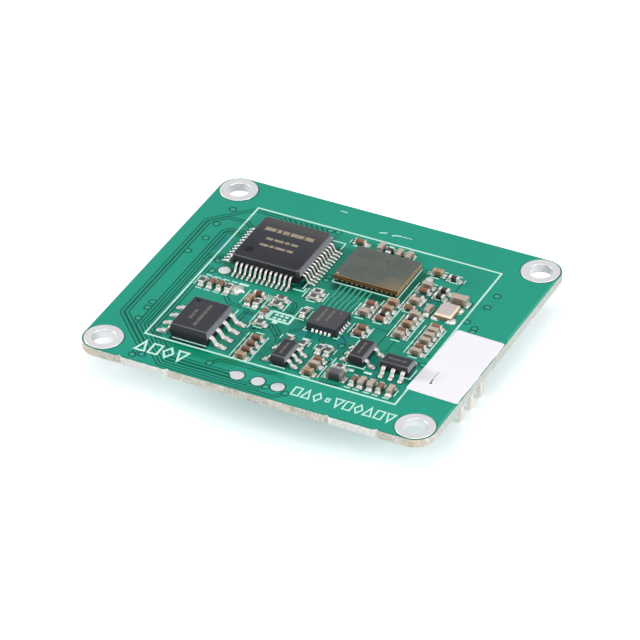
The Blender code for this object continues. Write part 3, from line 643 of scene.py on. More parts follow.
# Each track is the corners of its centre line, from one end to the other
tracks = [
    [(-9.2, 10.3), (-9.75, 10.68), (-12.6, 10.68), (-15.95, 7.42), (-15.95, -8.85), (-11.95, -12.85),
     (-11.95, -14.1)],
    [(-11.65, 8.05), (-12.2, 8.6), (-14.2, 8.6), (-15.55, 7.25), (-15.55, -8.65), (-11.2, -13.0),
     (-11.2, -13.75)],
    [(-11.7, 6.95), (-13.12, 6.95), (-13.67, 6.35), (-13.67, -9.95), (-9.14, -14.48), (2.2, -14.48),
     (3.05, -13.63)],
    [(-11.7, 6.42), (-12.95, 6.42), (-13.34, 6.03), (-13.34, -9.8), (-8.99, -14.15), (0.35, -14.15),
     (1.02, -13.5)],
    [(-11.7, 2.78), (-12.55, 2.78), (-13.02, 2.3), (-13.02, -9.65), (-8.87, -13.8), (-0.9, -13.8),
     (-0.45, -13.35)],
    [(-11.75, 2.3), (-12.3, 2.3), (-12.73, 1.87), (-12.73, -9.5), (-8.88, -13.35), (-2.5, -13.35)],
    [(-12.05, 0.9), (-12.05, -9.7), (-8.85, -12.9), (-2.6, -12.9)],
    [(-5.7, -11.0), (-11.0, -11.0), (-11.75, -10.3), (-11.75, -9.9)],
    [(-5.1, -12.35), (-4.3, -11.47), (0.45, -11.47), (0.95, -11.0)],
    [(-2.9, -1.1), (-2.45, -1.1), (-2.1, -1.6), (-2.1, -2.8)],
    [(-2.75, -4.6), (-1.5, -5.9), (-1.5, -6.4)],
    [(-3.05, -5.9), (-4.1, -5.9), (-4.1, -6.3)],
    [(-2.95, -4.9), (-1.15, -6.7), (-1.15, -7.3)],
    [(-5.6, -3.55), (-7.8, -3.55), (-8.6, -2.75), (-8.6, -2.3)],
    [(-5.05, -4.1), (-5.85, -4.1), (-5.85, -5.6)],
    [(-3.0, -2.6), (-1.2, -2.6), (-0.6, -3.2), (0.0, -3.2)],
    [(-0.95, -5.2), (0.2, -4.1)],
    [(1.0, -4.3), (1.0, -5.3), (1.4, -5.7)],
    [(2.2, -4.3), (2.2, -5.0), (2.7, -5.5)],
]
# Single dark lines, where one copper area ends beside another
seams = [
    [(5.9, -1.35), (7.2, -1.35)], [(7.2, -0.4), (7.2, -3.6)], [(8.3, -2.4), (8.3, -4.2)],
    [(6.6, 0.3), (7.1, 0.3)], [(9.9, 8.1), (9.9, 5.2)], [(5.2, -10.7), (6.5, -10.7), (6.9, -10.3)],
    [(3.6, -3.6), (4.5, -4.5), (4.5, -5.3)], [(8.2, 4.75), (9.6, 4.75)], [(5.9, 1.0), (6.5, 1.0)],
    [(6.2, -3.9), (6.2, -4.9)], [(10.2, -3.2), (12.2, -3.2)],
]
ribbon = {
    "left": 0.0, "right": 3.0, "count": 7, "front": -0.95, "back": 3.4, "step": 0.12, "stepHalf": 0.1,
    "sway": 0.3, "width": 0.22, "high": 0.012,
}
behindChip = {
    "left": -8.9, "pitch": 0.55, "count": 8, "front": 10.2, "bendFrom": 10.4, "bendTo": 10.7, "back": 10.85,
    "lean": 0.35,
}
vias = [
    (-14.5, 9.9), (-14.75, 7.15), (-14.6, 4.7), (-15.1, 2.2), (-14.15, -6.35), (-14.15, -7.3),
    (-14.1, -9.1), (-11.85, 1.95), (-11.6, 0.3), (13.6, 7.75), (13.55, 5.8), (12.85, 3.0), (13.9, 2.35),
    (12.15, -4.6), (-11.95, -14.2), (-11.2, -13.8), (3.05, -13.6), (1.05, -13.45), (-5.1, -12.4),
    (-1.5, 3.4), (-1.5, 4.0), (-3.95, 10.75), (-4.7, 10.7), (13.95, 1.85), (-2.1, -2.9), (4.35, -5.1),
]


def makeRibbon():
    # Pale tracks side by side, each with one step, where the copper round them is etched away
    lines = []
    for i in range(ribbon["count"]):
        x = ribbon["left"] + (ribbon["right"] - ribbon["left"]) * i / (ribbon["count"] - 1)
        middle = (ribbon["front"] + ribbon["back"]) / 2 + ribbon["sway"] * math.sin(i * 2)
        lean, half = x + ribbon["step"], ribbon["stepHalf"]
        path = [(x, ribbon["front"]), (x, middle - half), (lean, middle + half), (lean, ribbon["back"])]
        path = softCorners(path, copper["bend"], 4)
        lines.append(strip(path, ribbon["width"], -copper["sunk"], ribbon["high"], 0.02))
    makePiece("ribbon_tracks", onTop(lines), [maskOverTrace])


def parallelTracks():
    # Short stepped lines side by side
    lines = []
    for i in range(behindChip["count"]):
        x = behindChip["left"] + behindChip["pitch"] * i
        lines.append([(x, behindChip["front"]), (x, behindChip["bendFrom"]),
                      (x - behindChip["lean"], behindChip["bendTo"]),
                      (x - behindChip["lean"], behindChip["back"])])
    return lines


def makeTracks(name, lines, singles, holes, face=1, level=top):
    # Two etched lines beside each track and one round each via, on the underside mirrored downwards
    def onFace(shape):
        points, faces = shape
        return np.column_stack([points[:, :2], level + face * points[:, 2]]), faces
    gaps, plugs = [], []
    away = (copper["trackWidth"] + copper["gapWidth"]) / 2
    for i, line in enumerate(lines):
        path = softCorners(line, copper["bend"], 4) if len(line) > 2 else np.asarray(line, float)
        for j, side in enumerate((-1, 1)):
            # Neighbours share a line, so each of them has its own height
            high = copper["gapTop"] + copper["levelStep"] * ((2 * i + j) % copper["levels"])
            gap = strip(beside(path, side * away), copper["gapWidth"], -copper["sunk"], high)
            gaps.append((onFace(gap), 0))
    for line in singles:
        path = softCorners(line, copper["bend"], 4) if len(line) > 2 else line
        gap = strip(path, copper["gapWidth"], -copper["sunk"], copper["gapTop"] * 0.8)
        gaps.append((onFace(gap), 0))
    inner, outer = copper["viaRadius"] - copper["viaLine"] / 2, copper["viaRadius"] + copper["viaLine"] / 2
    high = copper["gapTop"] + copper["levelStep"] * copper["levels"]
    profile = [(outer, -copper["sunk"]), (outer, high), (inner, high), (inner, -copper["sunk"])]
    ring = turned(profile, 28, closed=True)
    for x, y in holes:
        gaps.append((onFace(placed(ring, x, y)), 0))
        plugs.append((onFace(placed(bead(inner * copper["plugShare"], copper["viaRise"], 18), x, y)), 0))
    makePiece(name + "_etching", gaps, [maskOverGap])
    makePiece(name + "_via_plugs", plugs, [maskOverTrace])


makeTracks("board_top", tracks + parallelTracks(), seams, vias)
makeRibbon()
print("copper made")


# Screw hole rims: one tinned profile turned round each hole, raised at its outer edge

rim = {
    "holeRadius": 1.1, "padRadius": 1.82, "padHeight": 0.05, "bead": 0.035, "beadWidth": 0.22,
    "beadInset": 0.13, "wall": 0.09, "lip": 0.015, "lipDrop": 0.06, "foot": 0.004, "steps": 72,
    "halo": [(1.9, -0.02), (1.9, 0.005), (1.7, 0.005), (1.7, -0.02)],
}


def rimProfile():
    # The bead near the pad's outer edge is a half wave, and the hole's lip steps down to the wall
    r = np.linspace(rim["holeRadius"] + 0.05, rim["padRadius"] - 0.02, 14)
    outerBead = np.clip(1 - np.abs(r - (rim["padRadius"] - rim["beadInset"])) / rim["beadWidth"], 0, 1)
    height = rim["padHeight"] + rim["bead"] * np.sin(outerBead * np.pi / 2) ** 2
    lip = [(rim["holeRadius"] + rim["lip"], rim["padHeight"] - rim["lip"]),
           (rim["holeRadius"], rim["padHeight"] - rim["lipDrop"])]
    upper = [(rim["padRadius"], rim["foot"]), (rim["padRadius"] - rim["foot"], height[-1] * 0.6),
             *zip(r[::-1], height[::-1]), *lip]
    upper = [(radius, top + z) for radius, z in upper]
    lower = [(radius, board["bottom"] - (z - top)) for radius, z in upper[::-1]]
    wall = rim["holeRadius"] + rim["wall"]
    return upper + lower + [(wall, board["bottom"] - rim["foot"]), (wall, top + rim["foot"])]


def makeRims():
    x, y = board["length"] / 2 - board["holeFromEdge"], board["width"] / 2 - board["holeFromEdge"]
    ring = turned(rimProfile(), rim["steps"], closed=True)
    halo = turned([(radius, top + z) for radius, z in rim["halo"]], rim["steps"], closed=True)
    for frontBack, signY in (("front", -1), ("back", 1)):
        for side, signX in (("left", -1), ("right", 1)):
            shapes = [(placed(ring, signX * x, signY * y), 0), (placed(halo, signX * x, signY * y), 1)]
            makePiece(f"screw_rim_{frontBack}_{side}", shapes, [platedTin, maskOverGap],
                      [f"hole_rim_{frontBack}_{side}"], smooth=50)


makeRims()
print("rims made")


# White printing on the board

printing = {
    "low": -0.01, "high": 0.03, "thin": 0.135, "dash": 0.62, "short": 0.3, "frontHalf": 0.45,
    "backHalf": 0.4, "gap": 0.26,
}
frameBox = {"left": -12.45, "right": 12.48, "front": -10.9, "back": 11.13, "line": 0.18}
# Outlines beside the small parts: left, right, front and back, then which sides are drawn
partOutlines = [
    (-12.15, -8.4, -2.5, -0.45, "L"), (-7.0, -5.1, -3.38, -0.6, "LB"), (-4.72, -2.85, -2.9, -0.6, "LR"),
    (-4.75, -2.85, -5.75, -3.1, "LB"), (-2.3, -0.33, -0.12, 1.95, "LRBT"),
    (-1.5, -0.35, -3.05, -1.05, "LRBT"), (-2.25, -0.35, 9.45, 10.55, "LRB"), (6.38, 8.1, 7.95, 9.05, "LB"),
    (8.3, 10.0, 7.95, 9.05, "RBT"), (6.35, 8.15, 2.05, 6.95, "LB"), (8.2, 9.35, 4.95, 6.9, "B"),
    (9.95, 11.95, 4.9, 5.95, "LR"), (4.7, 6.6, -0.6, 3.1, "LRB"), (2.97, 4.6, -0.6, 1.95, "LB"),
    (7.3, 9.2, -2.28, 2.05, "LRB"), (8.2, 9.3, 2.35, 3.95, "RT"), (9.75, 11.75, -3.9, 1.35, "LRB"),
    (3.87, 5.77, -3.35, -1.2, "LRB"), (-4.05, -2.1, -11.0, -6.5, "LRT"), (-1.2, 0.1, -6.7, -5.5, "LT"),
    (0.55, 1.65, -6.8, -5.5, "RT"), (2.25, 4.25, -6.9, -5.5, "LRT"), (2.6, 4.5, -10.6, -7.1, "RB"),
    (4.85, 7.2, -10.4, -7.5, "TL"),
]
# Single lines: the corners of each bent line
printedLines = [
    [(-3.9, 9.35), (-2.5, 9.35), (-2.5, 8.3)], [(-3.6, 0.92), (-2.55, 0.92), (-2.55, 1.5)],
    [(-2.8, 2.1), (-2.8, 1.3)], [(-4.95, -0.9), (-4.95, -1.7)], [(-5.15, -0.9), (-5.15, -1.5)],
    [(-0.9, 8.0), (-0.9, 3.5), (5.65, 3.5), (5.65, 8.7)], [(4.25, 9.45), (4.25, 10.35)],
    [(0.2, 10.55), (0.55, 10.55)], [(2.4, 10.5), (4.1, 10.4)], [(-9.95, -10.36), (-6.5, -10.36)],
    [(-6.55, -4.15), (-6.55, -5.1)], [(-4.6, -5.4), (-4.6, -6.2)],
    [(0.5, -4.35), (0.12, -4.35), (0.12, -3.85)], [(3.1, -4.35), (3.5, -4.35), (3.5, -3.9)],
    [(5.4, -3.6), (5.4, -4.4)], [(6.15, -7.4), (7.65, -7.4), (7.65, -6.9)], [(5.9, -7.55), (5.9, -7.1)],
    [(11.4, -7.0), (12.0, -7.0), (12.0, -5.5)], [(-0.16, -10.34), (1.35, -10.32)],
    [(11.85, -9.9), (11.85, -8.9)], [(8.95, -5.6), (9.3, -5.6)], [(9.95, 6.0), (9.95, 4.9)],
    [(-0.35, 8.9), (0.1, 9.2)], [(4.75, -6.9), (4.75, -7.9)], [(4.5, -7.3), (4.5, -8.3)],
]
dashes = [(x, y) for x in (-11.5, -10.6, -9.7, -8.85) for y in (-0.42, -2.58)]
dashes += [(x, -10.42) for x in (7.55, 8.4, 9.4, 10.25, 11.3)]
dashes += [(-5.45, -3.4), (-6.25, -3.4), (7.75, 9.15), (7.7, 7.0)]
whiteSpots = [
    ((-7.9, -0.42), (0.95, 0.3)), ((-2.7, -4.45), (0.5, 0.35)), ((6.75, -8.0), (0.5, 0.38)),
    ((8.3, -7.75), (0.75, 0.3)), ((-4.8, -2.3), (0.22, 1.3)), ((-3.92, -3.57), (0.34, 1.3)),
]
symbolBox = {
    "x": -2.55, "y": -3.57, "length": 2.4, "width": 1.45, "line": 0.24, "square": 0.34,
    "pitch": (0.5, 0.48),
}
frontMarks = {
    "left": -12.35, "right": -7.2, "front": -13.4, "back": -11.9, "line": 0.2,
    "row": ["rise", "square", "diamond", "fall"],
}
dateMarks = {
    "left": 3.35, "right": 13.45, "front": -13.5, "back": -12.25, "line": 0.15,
    "row": ["square", "rise", "diamond", "tile", "fall", "square", "diamond", "rise", "square", "fall"],
}
loosePrints = [
    ([(-0.5, 12.32), (-0.1, 12.42), (0.15, 12.6)], 0.16),
    ([(0.75, 12.35), (1.15, 12.55), (1.6, 12.6)], 0.16), ([(1.5, 12.58), (2.7, 12.62)], 0.08),
    ([(-5.3, 14.0), (-4.6, 13.95)], 0.11),
]


def markOutline(kind):
    # Plain closed shapes in a cell from 0 to 1, drawn anticlockwise
    corners = {
        "square": [(0.04, 0.04), (0.96, 0.04), (0.96, 0.96), (0.04, 0.96)],
        "tile": [(0.3, 0.32), (0.7, 0.32), (0.7, 0.68), (0.3, 0.68)],
        "diamond": [(0.5, 0.0), (1.0, 0.5), (0.5, 1.0), (0.0, 0.5)],
        "rise": [(0.0, 0.04), (1.0, 0.04), (0.5, 1.0)],
        "fall": [(0.5, 0.0), (1.0, 0.96), (0.0, 0.96)],
    }
    return np.array(corners[kind])


def markRow(marks):
    # Cells side by side between the row's two ends, each with the line of its shape
    cell, gap = (marks["right"] - marks["left"]) / len(marks["row"]), printing["gap"]
    corner = np.array([marks["left"] + cell * gap / 2, marks["front"]])
    size = np.array([cell * (1 - gap), marks["back"] - marks["front"]])
    outlines = [corner + [cell * i, 0] + markOutline(kind) * size for i, kind in enumerate(marks["row"])]
    return [loopStrip(outline, marks["line"], printing["low"], printing["high"]) for outline in outlines]


def dashRow(row):
    # Solid bars of the given shares of the row's length, with even gaps between them
    shares = np.array(row["shares"], float)
    gap = row.get("gap", 0.1)
    unit = (row["right"] - row["left"] - gap * (len(shares) - 1)) / shares.sum()
    start = row["left"] + np.concatenate([[0], np.cumsum(shares * unit + gap)[:-1]])
    bars = [strip([(a, row["y"]), (a + share * unit, row["y"])], row["height"], -0.01, 0.008)
            for a, share in zip(start, shares)]
    return [placed(shape, turn=row.get("turn", 0)) for shape in bars]


def makePrinting():
    low, high = printing["low"], printing["high"]
    corners = [(frameBox["left"], frameBox["front"]), (frameBox["right"], frameBox["front"]),
               (frameBox["right"], frameBox["back"]), (frameBox["left"], frameBox["back"])]
    shapes = [loopStrip(corners, frameBox["line"], low, high)]
    for left, right, front, back, drawn in partOutlines:
        middle = (left + right) / 2
        upFrom, upTo = front + printing["short"], back - printing["short"]
        wide, narrow = printing["frontHalf"], printing["backHalf"]
        ends = {"L": [(left, upFrom), (left, upTo)], "R": [(right, upFrom), (right, upTo)],
                "B": [(middle - wide, front), (middle + wide, front)],
                "T": [(middle - narrow, back), (middle + narrow, back)]}
        shapes += [strip(ends[side], printing["thin"], low, high, 0.02) for side in drawn]
    shapes += [strip(path, printing["thin"], low, high, 0.02) for path in printedLines]
    half = printing["dash"] / 2
    shapes += [strip([(x - half, y), (x + half, y)], printing["thin"], low, high, 0.02) for x, y in dashes]
    shapes += [strip(path, width, low, high, 0.03) for path, width in loosePrints]
    for (x, y), (length, width) in whiteSpots:
        shapes.append(strip([(x - length / 2, y), (x + length / 2, y)], width, low, high, 0.04))
    line = symbolBox["line"]
    box = roundedOutline(symbolBox["length"] - line, symbolBox["width"] - line, 0.05, 2)
    shapes.append(placed(loopStrip(box, line, low, high), symbolBox["x"], symbolBox["y"]))
    for i in (-1, 0, 1):
        for j in (-0.5, 0.5):
            x, y = symbolBox["x"] + i * symbolBox["pitch"][0], symbolBox["y"] + j * symbolBox["pitch"][1]
            half = symbolBox["square"] / 2
            shapes.append(strip([(x - half, y), (x + half, y)], symbolBox["square"] * 0.8, low, high, 0.03))
    shapes += markRow(frontMarks) + markRow(dateMarks)
    makePiece("white_printing", onTop(shapes), [whiteInk])


makePrinting()
print("printing made")


# Solder: a pad on the board and a fillet that climbs a metal end

drops = {"across": 9, "thin": 0.015, "narrowFrom": 0.85, "narrowing": 1.5, "archPower": 0.6, "sunk": 0.02}


def fillet(width, padWidth, reach, climb, steps=7, pointed=0.0, fall=2.2):
    # Along v the height falls as (1 - v) to a power while the width grows to the pad's, and shrinks again
    # as a quarter ellipse where it is pointed; across u the top is an arch. It starts at x 0 and runs to +X
    v = np.linspace(0, 1, steps)
    u = np.linspace(-1, 1, drops["across"])
    height = drops["thin"] + climb * (1 - v) ** fall
    half = (width + (padWidth - width) * np.sqrt(v)) / 2
    half = half * np.where(v > drops["narrowFrom"], 1 - (v - drops["narrowFrom"]) * drops["narrowing"], 1)
    half = half * np.sqrt(1 - (pointed * v) ** 2)
    arch = (1 - np.abs(u) ** 4) ** drops["archPower"]
    y = half[:, None] * u
    z = height[:, None] * arch
    x = np.broadcast_to((v * reach)[:, None], y.shape)
    topSide = np.stack([x, y, z], -1)
    base = np.stack([x[:, [-1, 0]], y[:, [-1, 0]], np.full((steps, 2), -drops["sunk"])], -1)
    return tube(np.concatenate([topSide, base], 1))


# Small parts with two metal ends

def smallKind(size, rounding, end, paint, slot, climb=0.92):
    # Case size, rounding of its long edges, length of the metal ends, how far up them the solder climbs
    return {"size": size, "round": rounding, "end": end, "paint": paint, "slot": slot, "climb": climb}


smallKinds = {
    "tan_capacitor": smallKind((1.02, 0.54, 0.57), 0.06, 0.24, tanCeramic, "tan_ceramic", 0.45),
    "brown_capacitor": smallKind((1.0, 0.5, 0.5), 0.2, 0.07, brownCeramic, "brown_ceramic", 0.55),
    "round_capacitor": smallKind((1.0, 0.5, 0.5), 0.2, 0.2, darkCeramic, "brown_ceramic"),
    "large_capacitor": smallKind((1.6, 0.8, 0.8), 0.07, 0.32, tanCeramic, "tan_ceramic", 0.6),
    "inductor": smallKind((1.0, 0.5, 0.5), 0.07, 0.25, blackCeramic, "black_ceramic"),
    "ferrite_bead": smallKind((1.6, 0.8, 0.8), 0.1, 0.3, greyFerrite, "black_ceramic", 0.5),
    "resistor": smallKind((1.0, 0.5, 0.35), 0.03, 0.24, alumina, "black_ceramic"),
}
# The places repeat those in the part's source: x, then the y and kind of each part
columns = [
    (-5.83, [(-1.37, "round_capacitor")]),
    (-3.77, [(-1.1, "resistor"), (-2.08, "resistor"), (-5.28, "resistor")]),
    (-2.96, [(-7.42, "brown_capacitor"), (-8.42, "brown_capacitor"), (-9.37, "brown_capacitor"),
             (-10.48, "tan_capacitor")]),
    (-1.25, [(9.98, "brown_capacitor"), (1.22, "resistor"), (0.37, "resistor")]),
    (3.55, [(-8.02, "brown_capacitor"), (-8.88, "tan_capacitor"), (-10.08, "tan_capacitor")]),
    (3.98, [(1.68, "brown_capacitor"), (0.95, "resistor"), (0.07, "tan_capacitor")]),
    (4.92, [(-2.02, "brown_capacitor"), (-2.92, "brown_capacitor")]),
    (5.72, [(2.58, "tan_capacitor"), (1.47, "tan_capacitor"), (0.58, "inductor"),
            (-0.12, "brown_capacitor"), (-8.18, "resistor")]),
    (6.02, [(-9.59, "ferrite_bead")]),
    (7.36, [(8.53, "tan_capacitor"), (6.33, "tan_capacitor"), (5.48, "brown_capacitor"),
            (4.32, "resistor"), (3.62, "tan_capacitor"), (2.53, "brown_capacitor")]),
    (8.32, [(1.68, "tan_capacitor"), (0.87, "inductor"), (0.12, "tan_capacitor"),
            (-0.9, "brown_capacitor"), (-1.63, "tan_capacitor")]),
    (9.07, [(8.28, "inductor"), (6.18, "inductor"), (5.18, "inductor")]),
    (10.84, [(0.9, "brown_capacitor"), (0.17, "tan_capacitor"), (-0.68, "tan_capacitor"),
             (-1.53, "tan_capacitor"), (-2.47, "brown_capacitor"), (-3.33, "tan_capacitor")]),
    (11.02, [(5.31, "large_capacitor")]),
]
# y, then the x and kind of each part
rows = [
    (-1.6, [(-11.5, "resistor"), (-10.6, "brown_capacitor"), (-9.7, "brown_capacitor"),
            (-8.85, "resistor")]),
    (-2.55, [(-6.24, "tan_capacitor"), (-5.45, "resistor")]),
    (-3.72, [(-4.18, "brown_capacitor")]),
    (-2.05, [(-0.92, "resistor")]),
    (9.92, [(0.91, "tan_capacitor")]),
    (9.68, [(1.87, "inductor"), (2.86, "tan_capacitor"), (3.86, "tan_capacitor")]),
    (2.92, [(9.06, "tan_capacitor")]),
    (-6.45, [(-0.27, "resistor"), (1.18, "resistor"), (2.88, "resistor"), (3.73, "resistor")]),
    (-9.45, [(7.72, "brown_capacitor"), (8.56, "tan_capacitor"), (9.46, "tan_capacitor"),
             (10.32, "brown_capacitor"), (11.36, "tan_capacitor")]),
]
# Tan capacitors of a browner batch
warmPlaces = [
    (7.36, 8.53), (5.72, 2.58), (5.72, 1.47), (3.55, -10.08), (-6.24, -2.55), (8.32, 0.12), (-2.96, -10.48),
]
joints = {
    "reach": 0.28, "reachSpread": 0.05, "climbSpread": 0.14, "padSpare": 0.12, "padInside": 0.2,
    "lift": 0.03, "under": 0.005, "underStep": 0.0012, "underLayers": 5, "clearance": 0.24, "skew": 4,
    "bodyShort": 0.03, "bodyThin": 0.015, "endSkin": 0.012, "overlap": 0.012,
}
resin = {"half": 0.36, "narrow": 0.2, "swell": 0.24, "stations": 11}


def smallPart(kind, layer):
    # Materials: 0 the body, 1 metal ends, 2 solder, 3 a resistor's dark film, 4 the ring of bare board
    look = smallKinds[kind]
    length, width, height = look["size"]
    rise = height - joints["lift"]
    shapes = []
    bodyEnd = length / 2 - joints["bodyShort"]
    stations = [(-bodyEnd, joints["bodyThin"]), (bodyEnd, joints["bodyThin"])]
    if kind == "round_capacitor":
        # A drop of resin whose outline is a half ellipse, widest in the middle
        stations = [(t * resin["half"], resin["narrow"] - resin["swell"] * math.sqrt(1 - t * t * 0.98))
                    for t in np.linspace(-1, 1, resin["stations"])]
    shapes.append((bar(stations, width, rise, joints["lift"], look["round"]), 0))
    for side in (-1, 1):
        mirror = [side, 1, 1]
        stations = softLevels(length / 2 - look["end"], length / 2, min(0.05, look["end"] / 2.2))
        skin = joints["endSkin"]
        cap, faces = bar(stations, width + skin, rise + skin, joints["lift"] - skin / 2, look["round"])
        shapes.append(((cap * mirror, faces), 1))
        reach = joints["reach"] + joints["reachSpread"] * (chance.random() * 2 - 1)
        share = 1 - joints["climbSpread"] + joints["climbSpread"] * chance.random()
        drop, faces = fillet(width + 0.02, width + joints["padSpare"], reach,
                             rise * look["climb"] * share)
        shapes.append((((drop + [length / 2 - joints["overlap"], 0, 0]) * mirror, faces), 2))
        inside = joints["padInside"]
        pad, faces = plate(inside + reach, width + joints["padSpare"], joints["lift"], 0.06)
        shapes.append((((pad + [length / 2 + (reach - inside) / 2, 0, 0]) * mirror, faces), 2))
    if kind == "resistor":
        film = plate(length - 2 * look["end"] + 0.04, width - 0.05, 0.03, 0.03, 0.012)
        shapes.append((placed(film, z=height - 0.012), 3))
    # Neighbours' rings overlap, so each takes one of a few heights
    ring = plate(length + 2 * joints["reach"] + joints["clearance"],
                 width + joints["padSpare"] + joints["clearance"],
                 joints["under"] + joints["underStep"] * (layer % joints["underLayers"]), 0.12, 0.002)
    return shapes + [(ring, 4)]


def makeSmallParts():
    numbers = {}
    places = [(kind, x, y, 0) for x, column in columns for y, kind in column]
    places += [(kind, x, y, 90) for y, row in rows for x, kind in row]
    for kind, x, y, turn in places:
        numbers[kind] = numbers.get(kind, 0) + 1
        name = f"{kind}_{numbers[kind]}"
        skew = turn + (chance.random() - 0.5) * joints["skew"]
        shapes = [(placed(shape, x, y, top, skew), paint)
                  for shape, paint in smallPart(kind, sum(numbers.values()))]
        stands = [name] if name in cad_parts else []
        body = smallKinds[kind]["paint"]
        ends = {tanCeramic: endTin, greyFerrite: dullTin}.get(body, brightTin)
        if (x, y) in warmPlaces:
            body, ends = warmCeramic, warmTin
        makePiece("fitted_" + name, shapes, [body, ends, solder, resistorFilm, maskOverGap],
                  stands)
    print("small parts made:", numbers)


makeSmallParts()


# Chips with moulded bodies and bent leads

moulded = {
    "low": 0.1, "seam": 0.02, "seamOut": 0.006, "seamIn": 0.012,
    "edge": [(0.08, -0.012), (0.012, 0.028), (0, 0.07)], "roof": 0.13,
    "dish": [(1.06, 0.0), (1.0, 0.06), (0.94, 0.6), (0.86, 0.9), (0.75, 1.0), (0.05, 1.0)],
}
microcontroller = {
    "node": "microcontroller", "x": -6.8, "y": 5.0, "length": 7.0, "width": 7.0, "top": 1.5, "corner": 0.22,
    "draft": 0.12, "pitch": 0.5, "leadWidth": 0.21, "leadThickness": 0.13, "shoulder": 0.25, "foot": 0.42,
    "reach": 1.0, "rows": {0: range(12), 90: range(12), 180: range(12), 270: range(12)}, "slots": 12,
    "dish": (-2.3, -2.1), "dishRadius": 0.46, "dishDepth": 0.2, "bend": 0.16, "cornerSteps": 1,
    "between": 5, "spare": 0.3, "padSpare": 0.0,
    "marks": [
        {"left": -2.5, "right": 2.45, "y": 1.6, "height": 0.52, "gap": 0.16, "shares": [5, 2, 3, 6, 4]},
        {"left": -1.7, "right": 1.55, "y": 0.17, "height": 0.34, "gap": 0.16, "shares": [3, 4, 2, 3]},
        {"left": -1.8, "right": 1.55, "y": -0.9, "height": 0.34, "gap": 0.14, "shares": [4, 2, 5, 3]},
    ],
}
flashChip = {
    "node": "flash_chip", "x": -8.275, "y": -8.0, "length": 3.9, "width": 4.9, "top": 1.5, "corner": 0.08,
    "draft": 0.14, "pitch": 1.27, "leadWidth": 0.46, "leadThickness": 0.18, "shoulder": 0.2, "foot": 0.52,
    "reach": 1.1, "rows": {0: range(4), 180: range(4)}, "slots": 4, "spare": 0.46, "pointed": 0.2,
    "dish": (-1.2, 1.85), "dishRadius": 0.28, "dishDepth": 0.14, "bend": 0.26,
    "marks": [
        {"left": -1.76, "right": 1.64, "y": -0.24, "height": 0.32, "turn": 90, "shares": [3, 5, 2, 4]},
        {"left": -0.96, "right": 0.54, "y": 0.6, "height": 0.28, "turn": 90, "shares": [3, 2, 3]},
    ],
}


def regulatorChip(number, x, y, turn):
    # Three leads on one long side and two on the other
    alongX = turn % 180 == 0
    return {
        "node": f"regulator_{number}", "x": x, "y": y, "length": 2.9 if alongX else 1.6,
        "width": 1.6 if alongX else 2.9, "top": 1.1, "corner": 0.06, "draft": 0.12, "pitch": 0.95,
        "leadWidth": 0.38, "leadThickness": 0.15, "shoulder": 0.19, "foot": 0.38, "reach": 0.75,
        "rows": {(turn - 90) % 360: (0, 1, 2), (turn + 90) % 360: (0, 2)}, "slots": 3, "bend": 0.2,
        "marks": [{"left": -0.85, "right": 0.85, "y": 0.0, "height": 0.22, "turn": turn,
                   "shares": [2, 3, 2]}],
    }


def chipBody(chip):
    # Rings of one rounded rectangle up the sides, over the softened edge, then in to the dish
    low, draft, seam = moulded["low"], chip["draft"], moulded["seam"]
    parting = low + (chip["top"] - low) / 2
    levels = [(low, draft + 0.03), (low + 0.03, draft), (parting - seam, moulded["seamIn"]),
              (parting - seam, -moulded["seamOut"]), (parting + seam, -moulded["seamOut"]),
              (parting + seam, moulded["seamIn"])]
    edgeLevels = [(chip["top"] - down, draft + inset) for down, inset in moulded["edge"]]
    sideLevels = [levels[-1], edgeLevels[0]]
    def ring(z, inset):
        corners = roundedOutline(chip["length"] - 2 * inset, chip["width"] - 2 * inset, chip["corner"],
                                 chip.get("cornerSteps", 4))
        # Points between the corners too, so that the dish is round
        t = np.linspace(0, 1, chip.get("between", 2), endpoint=False)[None, :, None]
        dense = corners[:, None] * (1 - t) + np.roll(corners, -1, 0)[:, None] * t
        return atHeight(dense.reshape(-1, 2), z)
    # One more ring just inside the edge keeps the roof's own normals straight up
    last = ring(chip["top"], draft + moulded["roof"])
    centre = np.array([*chip.get("dish", (0, 0)), chip["top"]])
    spoke = (last - centre) / np.linalg.norm(last - centre, axis=1, keepdims=True)
    radii, depths = np.array(moulded["dish"]).T[:, :, None, None]
    dish = (centre + spoke * radii * chip.get("dishRadius", 0.2)
            - np.array([0, 0, 1]) * depths * chip.get("dishDepth", 0.0))
    lower, side, band = [tube(np.array([ring(*level) for level in stretch]))
                         for stretch in (levels, sideLevels, edgeLevels)]
    roof = tube(np.concatenate([ring(*edgeLevels[-1])[None], last[None], dish]))
    # The open ends between the stretches meet, so only the outermost caps stay
    # The right flank's faces take the paler finish, painted light; the other sides the darker one, painted
    # shade, and the edge band a painted highlight
    flank = [face for face in side[1][:-2] if side[0][face, 0].min() > chip["length"] / 2 - draft - 0.03]
    rest = [face for face in side[1][:-2] if face not in flank]
    return [((lower[0], lower[1][:-1]), 0), ((side[0], rest), 1), ((side[0], flank), 3),
            ((band[0], band[1][:-2]), 2), ((roof[0], roof[1][:-2] + roof[1][-1:]), 0)]


leaded = {
    "inside": 0.25, "stand": 0.012, "round": 0.035, "padBehind": 0.1, "padCorner": 0.42,
    "pointedCorner": 0.12, "clearance": 0.2, "apart": 0.02, "climbLeast": 0.85, "climbSpread": 0.25,
    "dropWidth": 0.96, "dropFall": 1.3, "overlap": 0.012, "heelWidth": 0.9, "heelReach": 0.12,
    "heelClimb": 0.7, "heelGap": 0.02,
}


